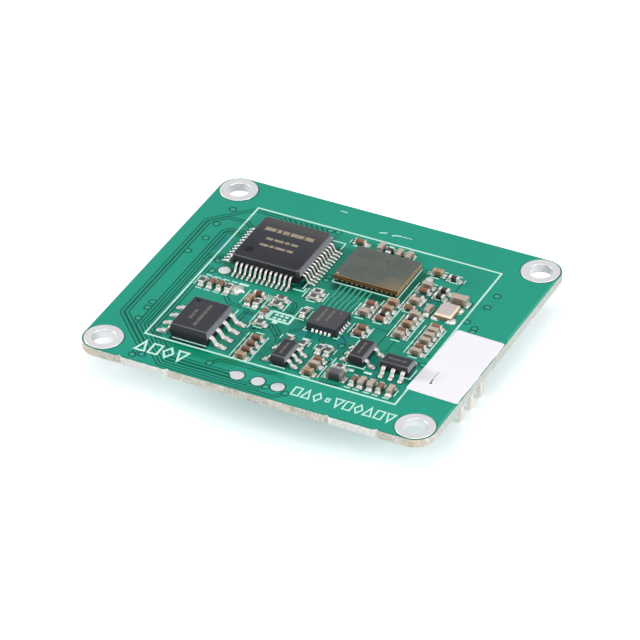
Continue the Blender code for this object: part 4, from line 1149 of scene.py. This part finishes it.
def leadShape(chip, half):
    # A rounded bar along a path: out of the body, down and out along the board
    thickness = chip["leadThickness"]
    shoulder = moulded["low"] + (chip["top"] - moulded["low"]) / 2
    foot = joints["lift"] + leaded["stand"] + thickness / 2
    toe = half + chip["reach"]
    path = softCorners([(half - leaded["inside"], 0, shoulder), (half + chip["shoulder"], 0, shoulder),
                        (toe - chip["foot"], 0, foot), (toe, 0, foot)], chip["bend"], 6)
    profile = roundedOutline(chip["leadWidth"], thickness, min(leaded["round"], thickness / 3), 1)
    return carried(path, profile, (0.0, 1.0, 0.0))


def makeLeadedChip(chip):
    # Bent leads on each side, and under each a ring of bare board, a pad, and drops at its toe and heel
    leads, pads = [], []
    for turn, slots in chip["rows"].items():
        def seated(shape):
            return placed(shape, chip["x"], chip["y"], top, turn)
        half = (chip["length"] if turn % 180 == 0 else chip["width"]) / 2
        lead = leadShape(chip, half)
        toe = half + chip["reach"]
        spare = chip.get("spare", 0.2)
        padLength = chip["foot"] + leaded["padBehind"] + spare
        padWidth = chip["leadWidth"] + chip.get("padSpare", 0.08)
        for slot in slots:
            offset = (slot - (chip["slots"] - 1) / 2) * chip["pitch"]
            leads.append((seated(placed(lead, y=offset)), 0))
            corner = padWidth * leaded["pointedCorner" if "pointed" in chip else "padCorner"]
            middle = toe + spare - padLength / 2
            pad = placed(plate(padLength, padWidth, joints["lift"], corner), middle, offset)
            clearWidth = min(padWidth + leaded["clearance"], chip["pitch"] - leaded["apart"])
            clear = plate(padLength + leaded["clearance"], clearWidth, joints["under"], 0.06, 0.002)
            clear = placed(clear, middle, offset)
            climb = chip["leadThickness"] * (leaded["climbLeast"] + leaded["climbSpread"] * chance.random())
            drop = fillet(chip["leadWidth"] * leaded["dropWidth"], padWidth, spare + 0.02, climb, 7,
                          chip.get("pointed", 0.9), leaded["dropFall"])
            drop = placed(drop, toe - leaded["overlap"], offset, joints["lift"] - 0.01)
            heel, faces = fillet(chip["leadWidth"] * leaded["heelWidth"], padWidth, leaded["heelReach"],
                                 chip["leadThickness"] * leaded["heelClimb"], 4)
            heel = heel * [-1, 1, 1] + [toe - chip["foot"] - leaded["heelGap"], offset, joints["lift"]]
            pads += [(seated(clear), 1), (seated(pad), 0), (seated(drop), 0), (seated((heel, faces)), 0)]
    body = [(placed(shape, chip["x"], chip["y"], top), paint) for shape, paint in chipBody(chip)]
    looks = [moulding, mouldShadedSide, mouldHighlitEdge, mouldLitFlank]
    weld(makePiece(chip["node"] + "_body", body, looks, [chip["node"]]), 30)
    makePiece(chip["node"] + "_leads", leads, [leadTin])
    makePiece(chip["node"] + "_solder", pads, [solder, maskOverGap])
    marks = [shape for row in chip["marks"] for shape in dashRow(row)]
    ink = chipInk if chip is microcontroller else faintInk
    makePiece(chip["node"] + "_marks", onTop(marks, chip["x"], chip["y"], chip["top"]), [ink])


for chip in (microcontroller, flashChip, regulatorChip(1, 0.58, -8.85, 90), regulatorChip(2, 6.8, -5.9, -90),
             regulatorChip(3, 10.45, -6.2, 0)):
    makeLeadedChip(chip)
print("leaded chips made")


# Radar chip: a layered laminate on a grid of solder balls

radar = {
    "x": 2.4, "y": 6.15, "length": 6.5, "width": 5.0, "low": 0.28, "top": 0.78, "corner": 0.05,
    "foot": [(0, 0.01), (0.01, 0)], "roof": [(0.02, 0), (0.006, 0.014), (0, 0.032), (0, 0.08)],
    "ballPitch": 0.5, "ballRadius": 0.16, "ballInset": 0.25, "ballCut": 52, "shadeBlockLess": 0.86,
    "glow": (2.6, -2.1), "glowFrom": 0.2, "glowTo": 2.0,
    "layers": [(0.0, "8a6236"), (0.12, "34200e"), (0.3, "c08c50"), (0.44, "452a12"), (0.7, "b08040"),
               (0.87, "f0d2a2")],
}


def radarTopFinish():
    # Olive grey with a golden tint towards the front right corner
    material = finish("radarTop", "5b625d", "4f564f", (0.4, 0.5), fine=5000, broad=350, share=0.4,
                      contrast=1.2, bump=0.12, depth=0.008, shine=0.25)
    tree = material.node_tree
    place = tree.nodes["Texture Coordinate"]
    centre = (radar["x"] + radar["glow"][0], radar["y"] + radar["glow"][1])
    away = addNode(tree, "ShaderNodeMapping", {"Location": (-centre[0] * mm, -centre[1] * mm, 0)},
                   {"Vector": place.outputs["Object"]})
    flat = addNode(tree, "ShaderNodeVectorMath", {"operation": "MULTIPLY", 1: (1, 1, 0)},
                   {0: away.outputs[0]})
    distance = addNode(tree, "ShaderNodeVectorMath", {"operation": "LENGTH"}, {0: flat.outputs[0]})
    fade = {"From Min": radar["glowFrom"] * mm, "From Max": radar["glowTo"] * mm, "To Min": 0.45,
            "To Max": 0.0}
    glow = addNode(tree, "ShaderNodeMapRange", fade, {"Value": distance.outputs["Value"]})
    return layColour(material, glow.outputs[0], "94805a")


def radarSideFinish():
    # Bands of copper and resin, chosen by height
    material = finish("radarSide", "c09468", "8f6c46", (0.35, 0.5), fine=5000, broad=900, contrast=1.6,
                      bump=0.2)
    tree = material.node_tree
    shader, grain = tree.nodes["Principled BSDF"], tree.nodes["Group"]
    split = addNode(tree, "ShaderNodeSeparateXYZ", None,
                    {0: tree.nodes["Texture Coordinate"].outputs["Object"]})
    heights = {"From Min": (top + radar["low"]) * mm, "From Max": (top + radar["top"]) * mm}
    share = addNode(tree, "ShaderNodeMapRange", heights, {"Value": split.outputs["Z"]})
    ramp = addNode(tree, "ShaderNodeValToRGB", None, {"Fac": share.outputs[0]})
    ramp.color_ramp.interpolation = "CONSTANT"
    elements = ramp.color_ramp.elements
    while len(elements) < len(radar["layers"]):
        elements.new(0.5)
    for element, (position, colour) in zip(elements, radar["layers"]):
        element.position = position
        element.color = linear(colour)
    mixed = addNode(tree, "ShaderNodeMix", {"data_type": "RGBA", "blend_type": "MULTIPLY", 0: 0.5},
                    {6: ramp.outputs["Color"], 7: grain.outputs["Color"]})
    tree.links.new(mixed.outputs[2], shader.inputs["Base Color"])
    right = radar["x"] + radar["length"] / 2
    # Its right flank is paler: a painted highlight, as if lit from the right
    return addPatches(material, "dcc29a", [((right, radar["y"]), (0.04, radar["width"] / 2), 0.03, 0.4)])


def openBody(chip):
    # A block in two shapes, each without the cap where they meet. The foot's levels are heights over its
    # underside, the roof's are depths under its top, and each has an inset
    foot = [(chip["low"] + up, inset) for up, inset in chip["foot"]]
    edge, *inner = [(chip["top"] - down, inset) for down, inset in chip["roof"]]
    side, roof = [block(chip["length"], chip["width"], levels, chip["corner"])
                  for levels in ([*foot, edge], [edge, *inner])]
    return [(side[0], side[1][:-1]), (roof[0], roof[1][:-2] + roof[1][-1:])]


def makeRadarChip():
    x, y, low = radar["x"], radar["y"], radar["low"]
    side, roof = openBody(radar)
    body = onTop([side], x, y, paint=1) + onTop([roof], x, y)
    looks = [radarTopFinish(), radarSideFinish()]
    weld(makePiece("radar_chip_laminate", body, looks, ["radar_chip"]), 30)
    countX = round((radar["length"] - 2 * radar["ballInset"]) / radar["ballPitch"]) + 1
    countY = round((radar["width"] - 2 * radar["ballInset"]) / radar["ballPitch"]) + 1
    angle = np.radians(np.linspace(-radar["ballCut"], radar["ballCut"], 7))
    ball = turned(np.column_stack([radar["ballRadius"] * np.cos(angle),
                                   (np.sin(angle) / np.sin(angle[-1]) + 1) / 2 * (low + 0.01)]), 12)
    balls = []
    for i in range(countX):
        for j in range(countY):
            if i in (0, countX - 1) or j in (0, countY - 1):
                right, back = i - (countX - 1) / 2, j - (countY - 1) / 2
                balls += onTop([ball], x + right * radar["ballPitch"], y + back * radar["ballPitch"])
    # A near-black block under the chip, inside the ring of balls: painted shade, so that the gaps between
    # the balls look dark
    shadeBlock = block(radar["length"] - radar["shadeBlockLess"], radar["width"] - radar["shadeBlockLess"],
                 [(0.0, 0.0), (low + 0.005, 0.0)], radar["corner"])
    balls.append((placed(shadeBlock, x, y, top), 1))
    makePiece("radar_chip_balls", balls, [finish("bronzeSolder", "e8dcc0", "b09c76", metallic=0.4),
                                          finish("paintedShadeUnderChip", "120f0c", "0a0806", shine=0.25)])
    makeRadarLines(x, y, radar["top"])


# Fields of lines: left, right, front, back and how many; then the bent lines and the spot's place
radarLines = {
    "fields": [(-2.6, -0.75, 1.05, 1.85, 4), (-2.75, -0.8, -1.7, -0.55, 5), (-0.45, 1.45, -1.35, -0.35, 4),
               (0.95, 2.6, 0.75, 1.85, 5)],
    "bent": [[(0.2, 1.55), (0.75, 0.5), (2.0, -0.55), (2.5, -0.6)], [(0.25, 1.2), (1.0, 1.9), (1.6, 2.1)],
             [(-0.6, 0.4), (-1.1, -0.4), (-1.0, -0.8)]],
    "spot": (-2.98, -2.2), "spotRadius": 0.11, "width": 0.09, "lean": 0.1, "shear": 0.15, "bend": 0.4,
}


def makeRadarLines(x, y, z):
    # Faint copper shapes that show through the lacquer: fields of lines, bent lines and a pin mark
    paths = []
    for left, right, front, back, count in radarLines["fields"]:
        for across in np.linspace(front, back, count):
            start = (left + radarLines["shear"] * (across - front), across)
            paths.append([start, (right, across - radarLines["lean"])])
    paths += [softCorners(path, radarLines["bend"]) for path in radarLines["bent"]]
    lines = [strip(path, radarLines["width"], -0.005, 0.005, 0.02) for path in paths]
    faint = finish("radarLine", "474d48", "3d433e", (0.4, 0.5), fine=5000, shine=0.25)
    makePiece("radar_chip_lines", onTop(lines, x, y, z), [faint])
    spot = disc(radarLines["spotRadius"], -0.005, 0.012, 0.006, 16)
    right, back = radarLines["spot"]
    makePiece("radar_chip_mark", onTop([spot], x + right, y + back, z), [goldInk])


makeRadarChip()
print("radar chip made")


# Power chip: a flat body with contacts that solder wets at its foot

power = {
    "x": 1.8, "y": -2.6, "length": 3.0, "width": 3.0, "low": 0.05, "top": 0.75, "corner": 0.05,
    "foot": [(0, 0.02), (0.02, 0)], "roof": [(0.05, 0.01), (0.012, 0.035), (0, 0.06), (0, 0.12)],
    "contacts": 5, "pitch": 0.42, "contactWidth": 0.24, "contactHeight": 0.2, "contactLength": 0.3,
    "contactInset": 0.14, "toe": 0.27, "padSpare": 0.02, "dropWidth": 0.9, "climb": 0.2,
    "dot": (0.75, 0.97), "dotRadius": 0.13,
    "marks": [
        {"left": -0.93, "right": 1.17, "y": 0.71, "height": 0.3, "turn": 90, "shares": [3, 4, 2]},
        {"left": -0.63, "right": 1.17, "y": -0.04, "height": 0.3, "turn": 90, "shares": [2, 4, 3]},
    ],
}


def makePowerChip():
    x, y, half = power["x"], power["y"], power["length"] / 2
    body = onTop(openBody(power), x, y)
    weld(makePiece("power_chip_body", body, [moulding], ["power_chip"]), 30)
    wide, long = power["contactWidth"], power["contactLength"]
    padWidth = wide + power["padSpare"]
    metal = []
    for turn in (0, 90, 180, 270):
        for i in range(power["contacts"]):
            offset = (i - (power["contacts"] - 1) / 2) * power["pitch"]
            contact = placed(plate(long, wide, power["contactHeight"], 0.02, 0.015),
                             half - power["contactInset"], offset, joints["lift"])
            pad = placed(plate(power["toe"] + long, padWidth, joints["lift"], 0.03),
                         half + (power["toe"] - long) / 2, offset)
            drop = fillet(wide * power["dropWidth"], padWidth, power["toe"], power["climb"], 5)
            drop = placed(drop, half + 0.005, offset, 0.01)
            metal += onTop([contact, pad, drop], x, y, turn=turn)
    makePiece("power_chip_solder", metal, [solder])
    marks = [shape for row in power["marks"] for shape in dashRow(row)]
    marks.append(placed(disc(power["dotRadius"], -0.01, 0.008, 0.004, 20), *power["dot"]))
    makePiece("power_chip_marks", onTop(marks, x, y, power["top"]), [faintInk])


makePowerChip()


# Crystal: ceramic tray, cream metal seam and a pale lid, on four large pads

# The seam's and the lid's levels are heights over the tray's top, each with an inset
crystal = {
    "x": 10.77, "y": 3.3, "length": 1.7, "width": 2.15, "tray": 0.5, "trayCorner": 0.12, "trayEdge": 0.02,
    "seam": [(-0.1, 0.01), (-0.03, 0.01), (0, 0.03), (0.09, 0.15), (0.1, 0.2)], "seamCorner": 0.16,
    "lid": [(0.05, 0), (0.105, 0), (0.12, 0.03), (0.12, 0.08)], "lidCorner": 0.08, "lidLess": 0.34,
    "padX": 0.72, "padY": 0.85, "padLength": 0.85, "padWidth": 0.95, "padCorner": 0.18,
    "blob": (0.34, 0.2), "largeBlob": (0.46, 0.3), "blobShift": (0.12, 0.1),
}


def makeCrystal():
    x, y, length, width = (crystal[key] for key in ("x", "y", "length", "width"))
    seamLevels, lidLevels = [[(crystal["tray"] + height, inset) for height, inset in crystal[key]]
                             for key in ("seam", "lid")]
    trayLevels = softLevels(joints["lift"], seamLevels[0][0], crystal["trayEdge"], 1)
    less = crystal["lidLess"]
    tray = block(length, width, trayLevels, crystal["trayCorner"])
    seam = block(length, width, seamLevels, crystal["seamCorner"])
    lid = block(length - less, width - less, lidLevels, crystal["lidCorner"])
    shapes = [(placed(shape, x, y, top), paint) for paint, shape in enumerate((tray, seam, lid))]
    makePiece("crystal_can", shapes, [trayCeramic, creamEdge, lidMetal], ["crystal"], smooth=30)
    metal = []
    for signX in (-1, 1):
        for signY in (-1, 1):
            padX, padY = x + signX * crystal["padX"], y + signY * crystal["padY"]
            pad = plate(crystal["padLength"], crystal["padWidth"], joints["lift"], crystal["padCorner"])
            metal += onTop([pad], padX, padY)
            blob = bead(*crystal["largeBlob" if signX > 0 > signY else "blob"])
            shiftX, shiftY = crystal["blobShift"]
            metal += onTop([blob], padX + signX * shiftX, padY + signY * shiftY, 0.02)
    makePiece("crystal_solder", metal, [solder])


makeCrystal()
print("power chip and crystal made")


# Round test pads, and the bare pads that one blob of solder joins

testPads = {
    "places": [(-2.0, -13.0, 0.66), (0.05, -13.0, 0.66), (2.02, -13.0, 0.66), (-10.6, 0.85, 0.6),
               (6.95, 7.5, 0.4)],
    "height": 0.045, "halo": [(0.1, -0.01), (0.1, 0.007), (-0.05, 0.007), (-0.05, -0.01)],
    "tail": [(-2.86, -12.9), (-2.4, -13.46), (-2.0, -13.2), (-2.0, -12.7), (-2.4, -12.5)],
    "blob": (-8.02, -1.42), "blobRadius": 0.6, "blobHeight": 0.34, "blobClimbs": [0, 20, 40, 58, 74, 88],
    "blobWaves": [(0.16, 5, 0.5), (0.05, 2, 0)], "blobPad": (-8.05, -1.45),
    "blobPadSize": (0.7, 1.5, 0.04, 0.1),
}


def makeTestPads():
    shapes, halos = [], []
    for x, y, radius in testPads["places"]:
        r = np.linspace(radius, 0.03, 9)
        z = testPads["height"] * (1 - (r / radius) ** 6) + 0.012 * np.cos(r / radius * 3)
        profile = [(radius, -0.01), *zip(r * 0.995, np.maximum(z, 0.004))]
        shapes += onTop([turned(profile, 40)], x, y)
        profile = [(radius + outwards, height) for outwards, height in testPads["halo"]]
        halos += onTop([turned(profile, 40, closed=True)], x, y, paint=1)
    shapes += onTop([tube(np.array([atHeight(testPads["tail"], z) for z in (-0.01, 0.035)]))])
    makePiece("test_pads", shapes + halos, [platedTin, maskOverGap], smooth=50)
    # The blob's radius swells and shrinks five times round its middle, and its height follows a half ellipse
    angle = np.linspace(0, 2 * np.pi, 40, endpoint=False)
    swell = sum(size * np.cos(turns * angle + start) for size, turns, start in testPads["blobWaves"])
    radius = testPads["blobRadius"] * (1 + swell)
    outline = np.column_stack([radius * np.cos(angle), radius * np.sin(angle)])
    rings = [atHeight(outline * math.cos(climb), testPads["blobHeight"] * math.sin(climb) - 0.01)
             for climb in np.radians(testPads["blobClimbs"])]
    bridge = [placed(tube(np.array(rings)), *testPads["blob"]),
              placed(plate(*testPads["blobPadSize"]), *testPads["blobPad"])]
    makePiece("bridged_pads", onTop(bridge), [solder])


makeTestPads()


# Sticker: one outline whose right side follows the board's edge in a slight wave, and a short tick of ink

sticker = {
    "left": 12.3, "right": 17.45, "y": -3.55, "length": 9.9, "turn": -2.05, "corner": 0.22, "low": 0.03,
    "high": 0.1, "wave": 0.05, "waves": [(0.6, 1.3, 0), (0.4, 3.1, 1)], "reach": 17.46, "narrower": 0.35,
    "tick": [(13.96, -5.05), (13.9, -5.95), (13.97, -6.6)], "tickEnd": [(13.92, -6.25), (13.99, -6.85)],
    "dot": (14.0, -6.84),
}


def stickerOutline(inset=0.0):
    width = sticker["right"] - sticker["left"] - sticker["narrower"]
    radius = sticker["corner"] - inset
    corners = roundedOutline(width - 2 * inset, sticker["length"] - 2 * inset, radius, 6)
    # More points along the straight sides, so that the right edge can wave
    ahead = np.roll(corners, -1, 0)
    t = np.linspace(0, 1, 12, endpoint=False)[None, :, None]
    dense = (corners[:, None] * (1 - t) + ahead[:, None] * t).reshape(-1, 2)
    waves = [size * np.sin(dense[:, 1] * turns + start) for size, turns, start in sticker["waves"]]
    wave = sticker["wave"] * sum(waves, 1)
    # How far the turned edge is from the board's edge at each height along it
    middle = (sticker["left"] + sticker["right"]) / 2
    missing = sticker["reach"] - middle - width / 2 + dense[:, 1] * math.sin(math.radians(sticker["turn"]))
    dense[:, 0] += np.clip(dense[:, 0] / width * 2, 0, 1) ** 4 * (missing - wave)
    return dense


def makeSticker():
    x = (sticker["left"] + sticker["right"]) / 2
    high = sticker["high"]
    levels = [(sticker["low"], 0.0), (high - 0.02, 0.0), (high, 0.02), (high + 0.002, 0.1)]
    sheet = tube(np.array([atHeight(stickerOutline(inset), z) for z, inset in levels]))
    sheet = onTop([sheet], x, sticker["y"], turn=sticker["turn"])
    makePiece("paper_sticker", sheet, [labelPaper], ["label"])
    tick = [strip(softCorners(sticker["tick"], 0.3), 0.045, 0.0, 0.006, 0.01),
            strip(sticker["tickEnd"], 0.11, 0.0, 0.006, 0.02),
            placed(disc(0.11, 0.0, 0.008, 0.004, 16), *sticker["dot"])]
    makePiece("ink_tick", onTop(tick, z=high + 0.003), [tickInk])


makeSticker()
print("sticker made")


# Headers under the board: bases keep the solids' shape, pins get softened edges and a bullet tip

header = {
    "pinSide": 0.5, "tip": 0.75, "taper": 0.88, "footLength": 1.85, "footThickness": 0.25, "column": 15.3,
    "tipRound": 0.3, "stemRound": 0.16, "footRound": 0.04, "heel": 0.9, "bend": 0.2, "baseEdge": 0.05,
    "pad": (1.9, 0.9, 0.028, 0.12), "padShare": 0.62, "drop": (0.85, 0.3, 0.22),
}


def makeHeaderBase(side):
    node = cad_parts[f"{side}_header_base"]
    piece = bpy.data.objects.new(f"{side}_header_block", node.data.copy())
    bpy.context.scene.collection.objects.link(piece)
    bm = bmesh.new()
    bm.from_mesh(piece.data)
    bmesh.ops.remove_doubles(bm, verts=bm.verts, dist=0.001 * mm)
    bmesh.ops.dissolve_limit(bm, angle_limit=math.radians(1), verts=bm.verts, edges=bm.edges)
    bm.to_mesh(piece.data)
    bm.free()
    bevel = piece.modifiers.new("softEdges", "BEVEL")
    bevel.width = header["baseEdge"] * mm
    bevel.segments = 2
    bevel.limit_method = "ANGLE"
    piece.data.materials.clear()
    piece.data.materials.append(headerPlastic)
    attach(piece, "root")
    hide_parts(f"{side}_header_base")


def makePin(node):
    # The stem is a rounded square whose size follows a quarter ellipse down to the tip
    low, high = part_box(node)
    stem = header["pinSide"]
    # The foot runs to the side of the column on which most of the solid lies
    footSign = -1 if (low.x + high.x) / 2 / mm < math.copysign(header["column"], low.x) else 1
    x = (high.x if footSign < 0 else low.x) / mm + footSign * stem / 2
    y = (low.y + high.y) / 2 / mm
    t = np.linspace(0, 1, 9)
    size = stem * np.sqrt(1 - (1 - t) ** 2 * header["taper"])
    footTop = high.z / mm
    rings = []
    for z, wide in [*zip(t * header["tip"], size), (footTop - header["footThickness"] - 0.02, stem)]:
        share = header["stemRound" if z >= header["tip"] else "tipRound"]
        outline = roundedOutline(wide, wide, wide * share, 3)
        rings.append(atHeight(outline + [x, y], z))
    shapes = [(tube(np.array(rings)), 0)]
    footMiddle = footTop - header["footThickness"] / 2
    path = softCorners([(x, y, footTop - header["heel"]), (x, y, footMiddle),
                        (x + footSign * header["footLength"], y, footMiddle)], header["bend"])
    profile = roundedOutline(stem - 0.01, header["footThickness"], header["footRound"], 2)
    shapes.append((carried(path, profile, (0.0, 1.0, 0.0)), 0))
    return shapes, (x, y, footSign)


def makeHeaders():
    pads = []
    for side in ("right", "left"):
        makeHeaderBase(side)
    for node in sorted(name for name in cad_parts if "_header_pin_" in name):
        shapes, (x, y, sign) = makePin(node)
        makePiece(node.replace("header_pin", "contact_pin"), shapes, [pinTin], [node])
        under = board["bottom"]
        middle = x + sign * (header["footLength"] * header["padShare"])
        pad, faces = plate(*header["pad"])
        pads.append(((pad * [1, 1, -1] + [middle, y, under], faces), 0))
        toe = x + sign * header["footLength"]
        drop, faces = fillet(header["pinSide"], *header["drop"], 6)
        pads.append(((drop * [sign, 1, -1] + [toe - sign * 0.02, y, under - 0.01], faces), 0))
    makePiece("header_solder", pads, [solder])


makeHeaders()
undersideTracks = [
    [(13.5, -3.5), (11.0, -3.5), (8.0, -6.5), (-3.0, -6.5), (-6.0, -3.5), (-10.5, -3.5)],
    [(13.5, 0.5), (10.5, 0.5), (7.5, 3.5), (2.0, 3.5)],
    [(-13.4, -5.0), (-11.5, -5.0), (-8.5, -8.0), (4.0, -8.0), (6.0, -10.0)],
    [(-13.4, -3.0), (-10.8, -3.0), (-7.5, 0.3), (-2.0, 0.3)],
    [(-13.4, -1.0), (-11.5, -1.0), (-7.0, 3.5), (-1.0, 3.5)],
    [(-13.4, 1.0), (-11.8, 1.0), (-7.2, 5.6), (3.0, 5.6), (6.0, 8.6)],
    [(-13.4, 3.0), (-12.0, 3.0), (-7.3, 7.7), (1.0, 7.7)],
    [(-13.4, 5.0), (-12.2, 5.0), (-7.4, 9.8), (-1.0, 9.8)],
]
undersideVias = [(-10.5, -3.5), (2.0, 3.5), (6.0, -10.0), (-2.0, 0.3), (-1.0, 3.5), (6.0, 8.6), (1.0, 7.7),
                 (-1.0, 9.8), *[(x, y) for x, y in vias if abs(x) > 11 and abs(y) < 10]]
makeTracks("board_underside", undersideTracks, [], undersideVias, face=-1, level=board["bottom"])
print("headers and underside made")


# Studio: a pale floor that glows a little, four soft lamps, a camera at the photograph's view

studio = {"floorSize": 2.0, "floorColour": "f4f6f7", "floorGlow": 0.42, "world": 0.12,
          "glowColour": (0.92, 0.97, 1, 1),
          "lamps": {"key": {"energy": 0.3, "size": 0.3, "place": (0.2, 0.1, 0.46)},
                    "front": {"energy": 1.07, "size": 0.2, "place": (0.09, -0.29, 0.36)},
                    "left": {"energy": 0.98, "size": 0.14, "place": (-0.38, -0.06, 0.165)},
                    "side": {"energy": 0.95, "size": 0.18, "place": (0.37, -0.03, 0.185)}}}
view = {
    "place": (158.556, -303.046, 248.916), "right": (0.89157063, 0.45248587, -0.01893003),
    "down": (0.24963962, -0.52590169, -0.81308515), "ahead": (-0.37786488, 0.72019716, -0.58183691),
    "focalPixels": 4650.4, "picturePixels": 640, "sensor": 36.0,
}


def makeFloor():
    half = studio["floorSize"] / 2
    mesh = bpy.data.meshes.new("floor")
    corners = [(-half, -half, 0), (half, -half, 0), (half, half, 0), (-half, half, 0)]
    mesh.from_pydata(corners, [], [(0, 1, 2, 3)])
    material = bpy.data.materials.new("paleFloor")
    material.use_nodes = True
    tree = material.node_tree
    shader = tree.nodes["Principled BSDF"]
    shader.inputs["Base Color"].default_value = linear(studio["floorColour"])
    shader.inputs["Roughness"].default_value = 0.9
    shader.inputs["Specular IOR Level"].default_value = 0.0
    rays = addNode(tree, "ShaderNodeLightPath")
    face = addNode(tree, "ShaderNodeNewGeometry")
    # The glow is for the camera and mirrors only, and from below the floor is clear
    seen = calc(tree, "ADD", rays.outputs["Is Camera Ray"], rays.outputs["Is Glossy Ray"], clamp=True)
    glow = addNode(tree, "ShaderNodeEmission", {"Color": studio["glowColour"]},
                   {"Strength": calc(tree, "MULTIPLY", seen, studio["floorGlow"])})
    lit = addNode(tree, "ShaderNodeAddShader", None, {0: shader.outputs[0], 1: glow.outputs[0]})
    below = calc(tree, "MULTIPLY", rays.outputs["Is Camera Ray"], face.outputs["Backfacing"])
    clear = addNode(tree, "ShaderNodeBsdfTransparent")
    chosen = addNode(tree, "ShaderNodeMixShader", None, {0: below, 1: lit.outputs[0], 2: clear.outputs[0]})
    tree.links.new(chosen.outputs[0], tree.nodes["Material Output"].inputs["Surface"])
    mesh.materials.append(material)
    floor = bpy.data.objects.new("floor", mesh)
    bpy.context.scene.collection.objects.link(floor)


def makeLights():
    world = bpy.data.worlds.new("studio")
    world.use_nodes = True
    bpy.context.scene.world = world
    tree = world.node_tree
    background = tree.nodes["Background"]
    rays = addNode(tree, "ShaderNodeLightPath")
    # Full white where it is seen, and only a little light on the part
    seen = calc(tree, "MAXIMUM", rays.outputs["Is Camera Ray"], rays.outputs["Is Transmission Ray"])
    seen = calc(tree, "MAXIMUM", seen, rays.outputs["Is Glossy Ray"])
    strength = addNode(tree, "ShaderNodeMapRange", {"To Min": studio["world"], "To Max": 1.0},
                       {"Value": seen})
    tree.links.new(strength.outputs[0], background.inputs["Strength"])
    background.inputs["Color"].default_value = (1, 1, 1, 1)
    for name, lamp in studio["lamps"].items():
        data = bpy.data.lights.new(name, "AREA")
        data.energy, data.size = lamp["energy"], lamp["size"]
        light = bpy.data.objects.new(name, data)
        light.location = lamp["place"]
        light.rotation_mode = "QUATERNION"
        light.rotation_quaternion = light.location.to_track_quat("Z", "Y")
        bpy.context.scene.collection.objects.link(light)


def makeCamera():
    data = bpy.data.cameras.new("camera")
    data.sensor_width = view["sensor"]
    data.lens = view["focalPixels"] * view["sensor"] / view["picturePixels"]
    data.clip_start, data.clip_end = 0.01, 10.0
    camera = bpy.data.objects.new("camera", data)
    axes = np.array([view["right"], [-v for v in view["down"]], [-v for v in view["ahead"]]]).T
    pose = np.eye(4)
    pose[:3, :3] = axes
    pose[:3, 3] = np.array(view["place"]) * mm
    camera.matrix_world = Matrix(pose.tolist())
    bpy.context.scene.collection.objects.link(camera)
    bpy.context.scene.camera = camera


makeFloor()
makeLights()
makeCamera()
bpy.context.scene.view_settings.view_transform = "Standard"
print("studio made")
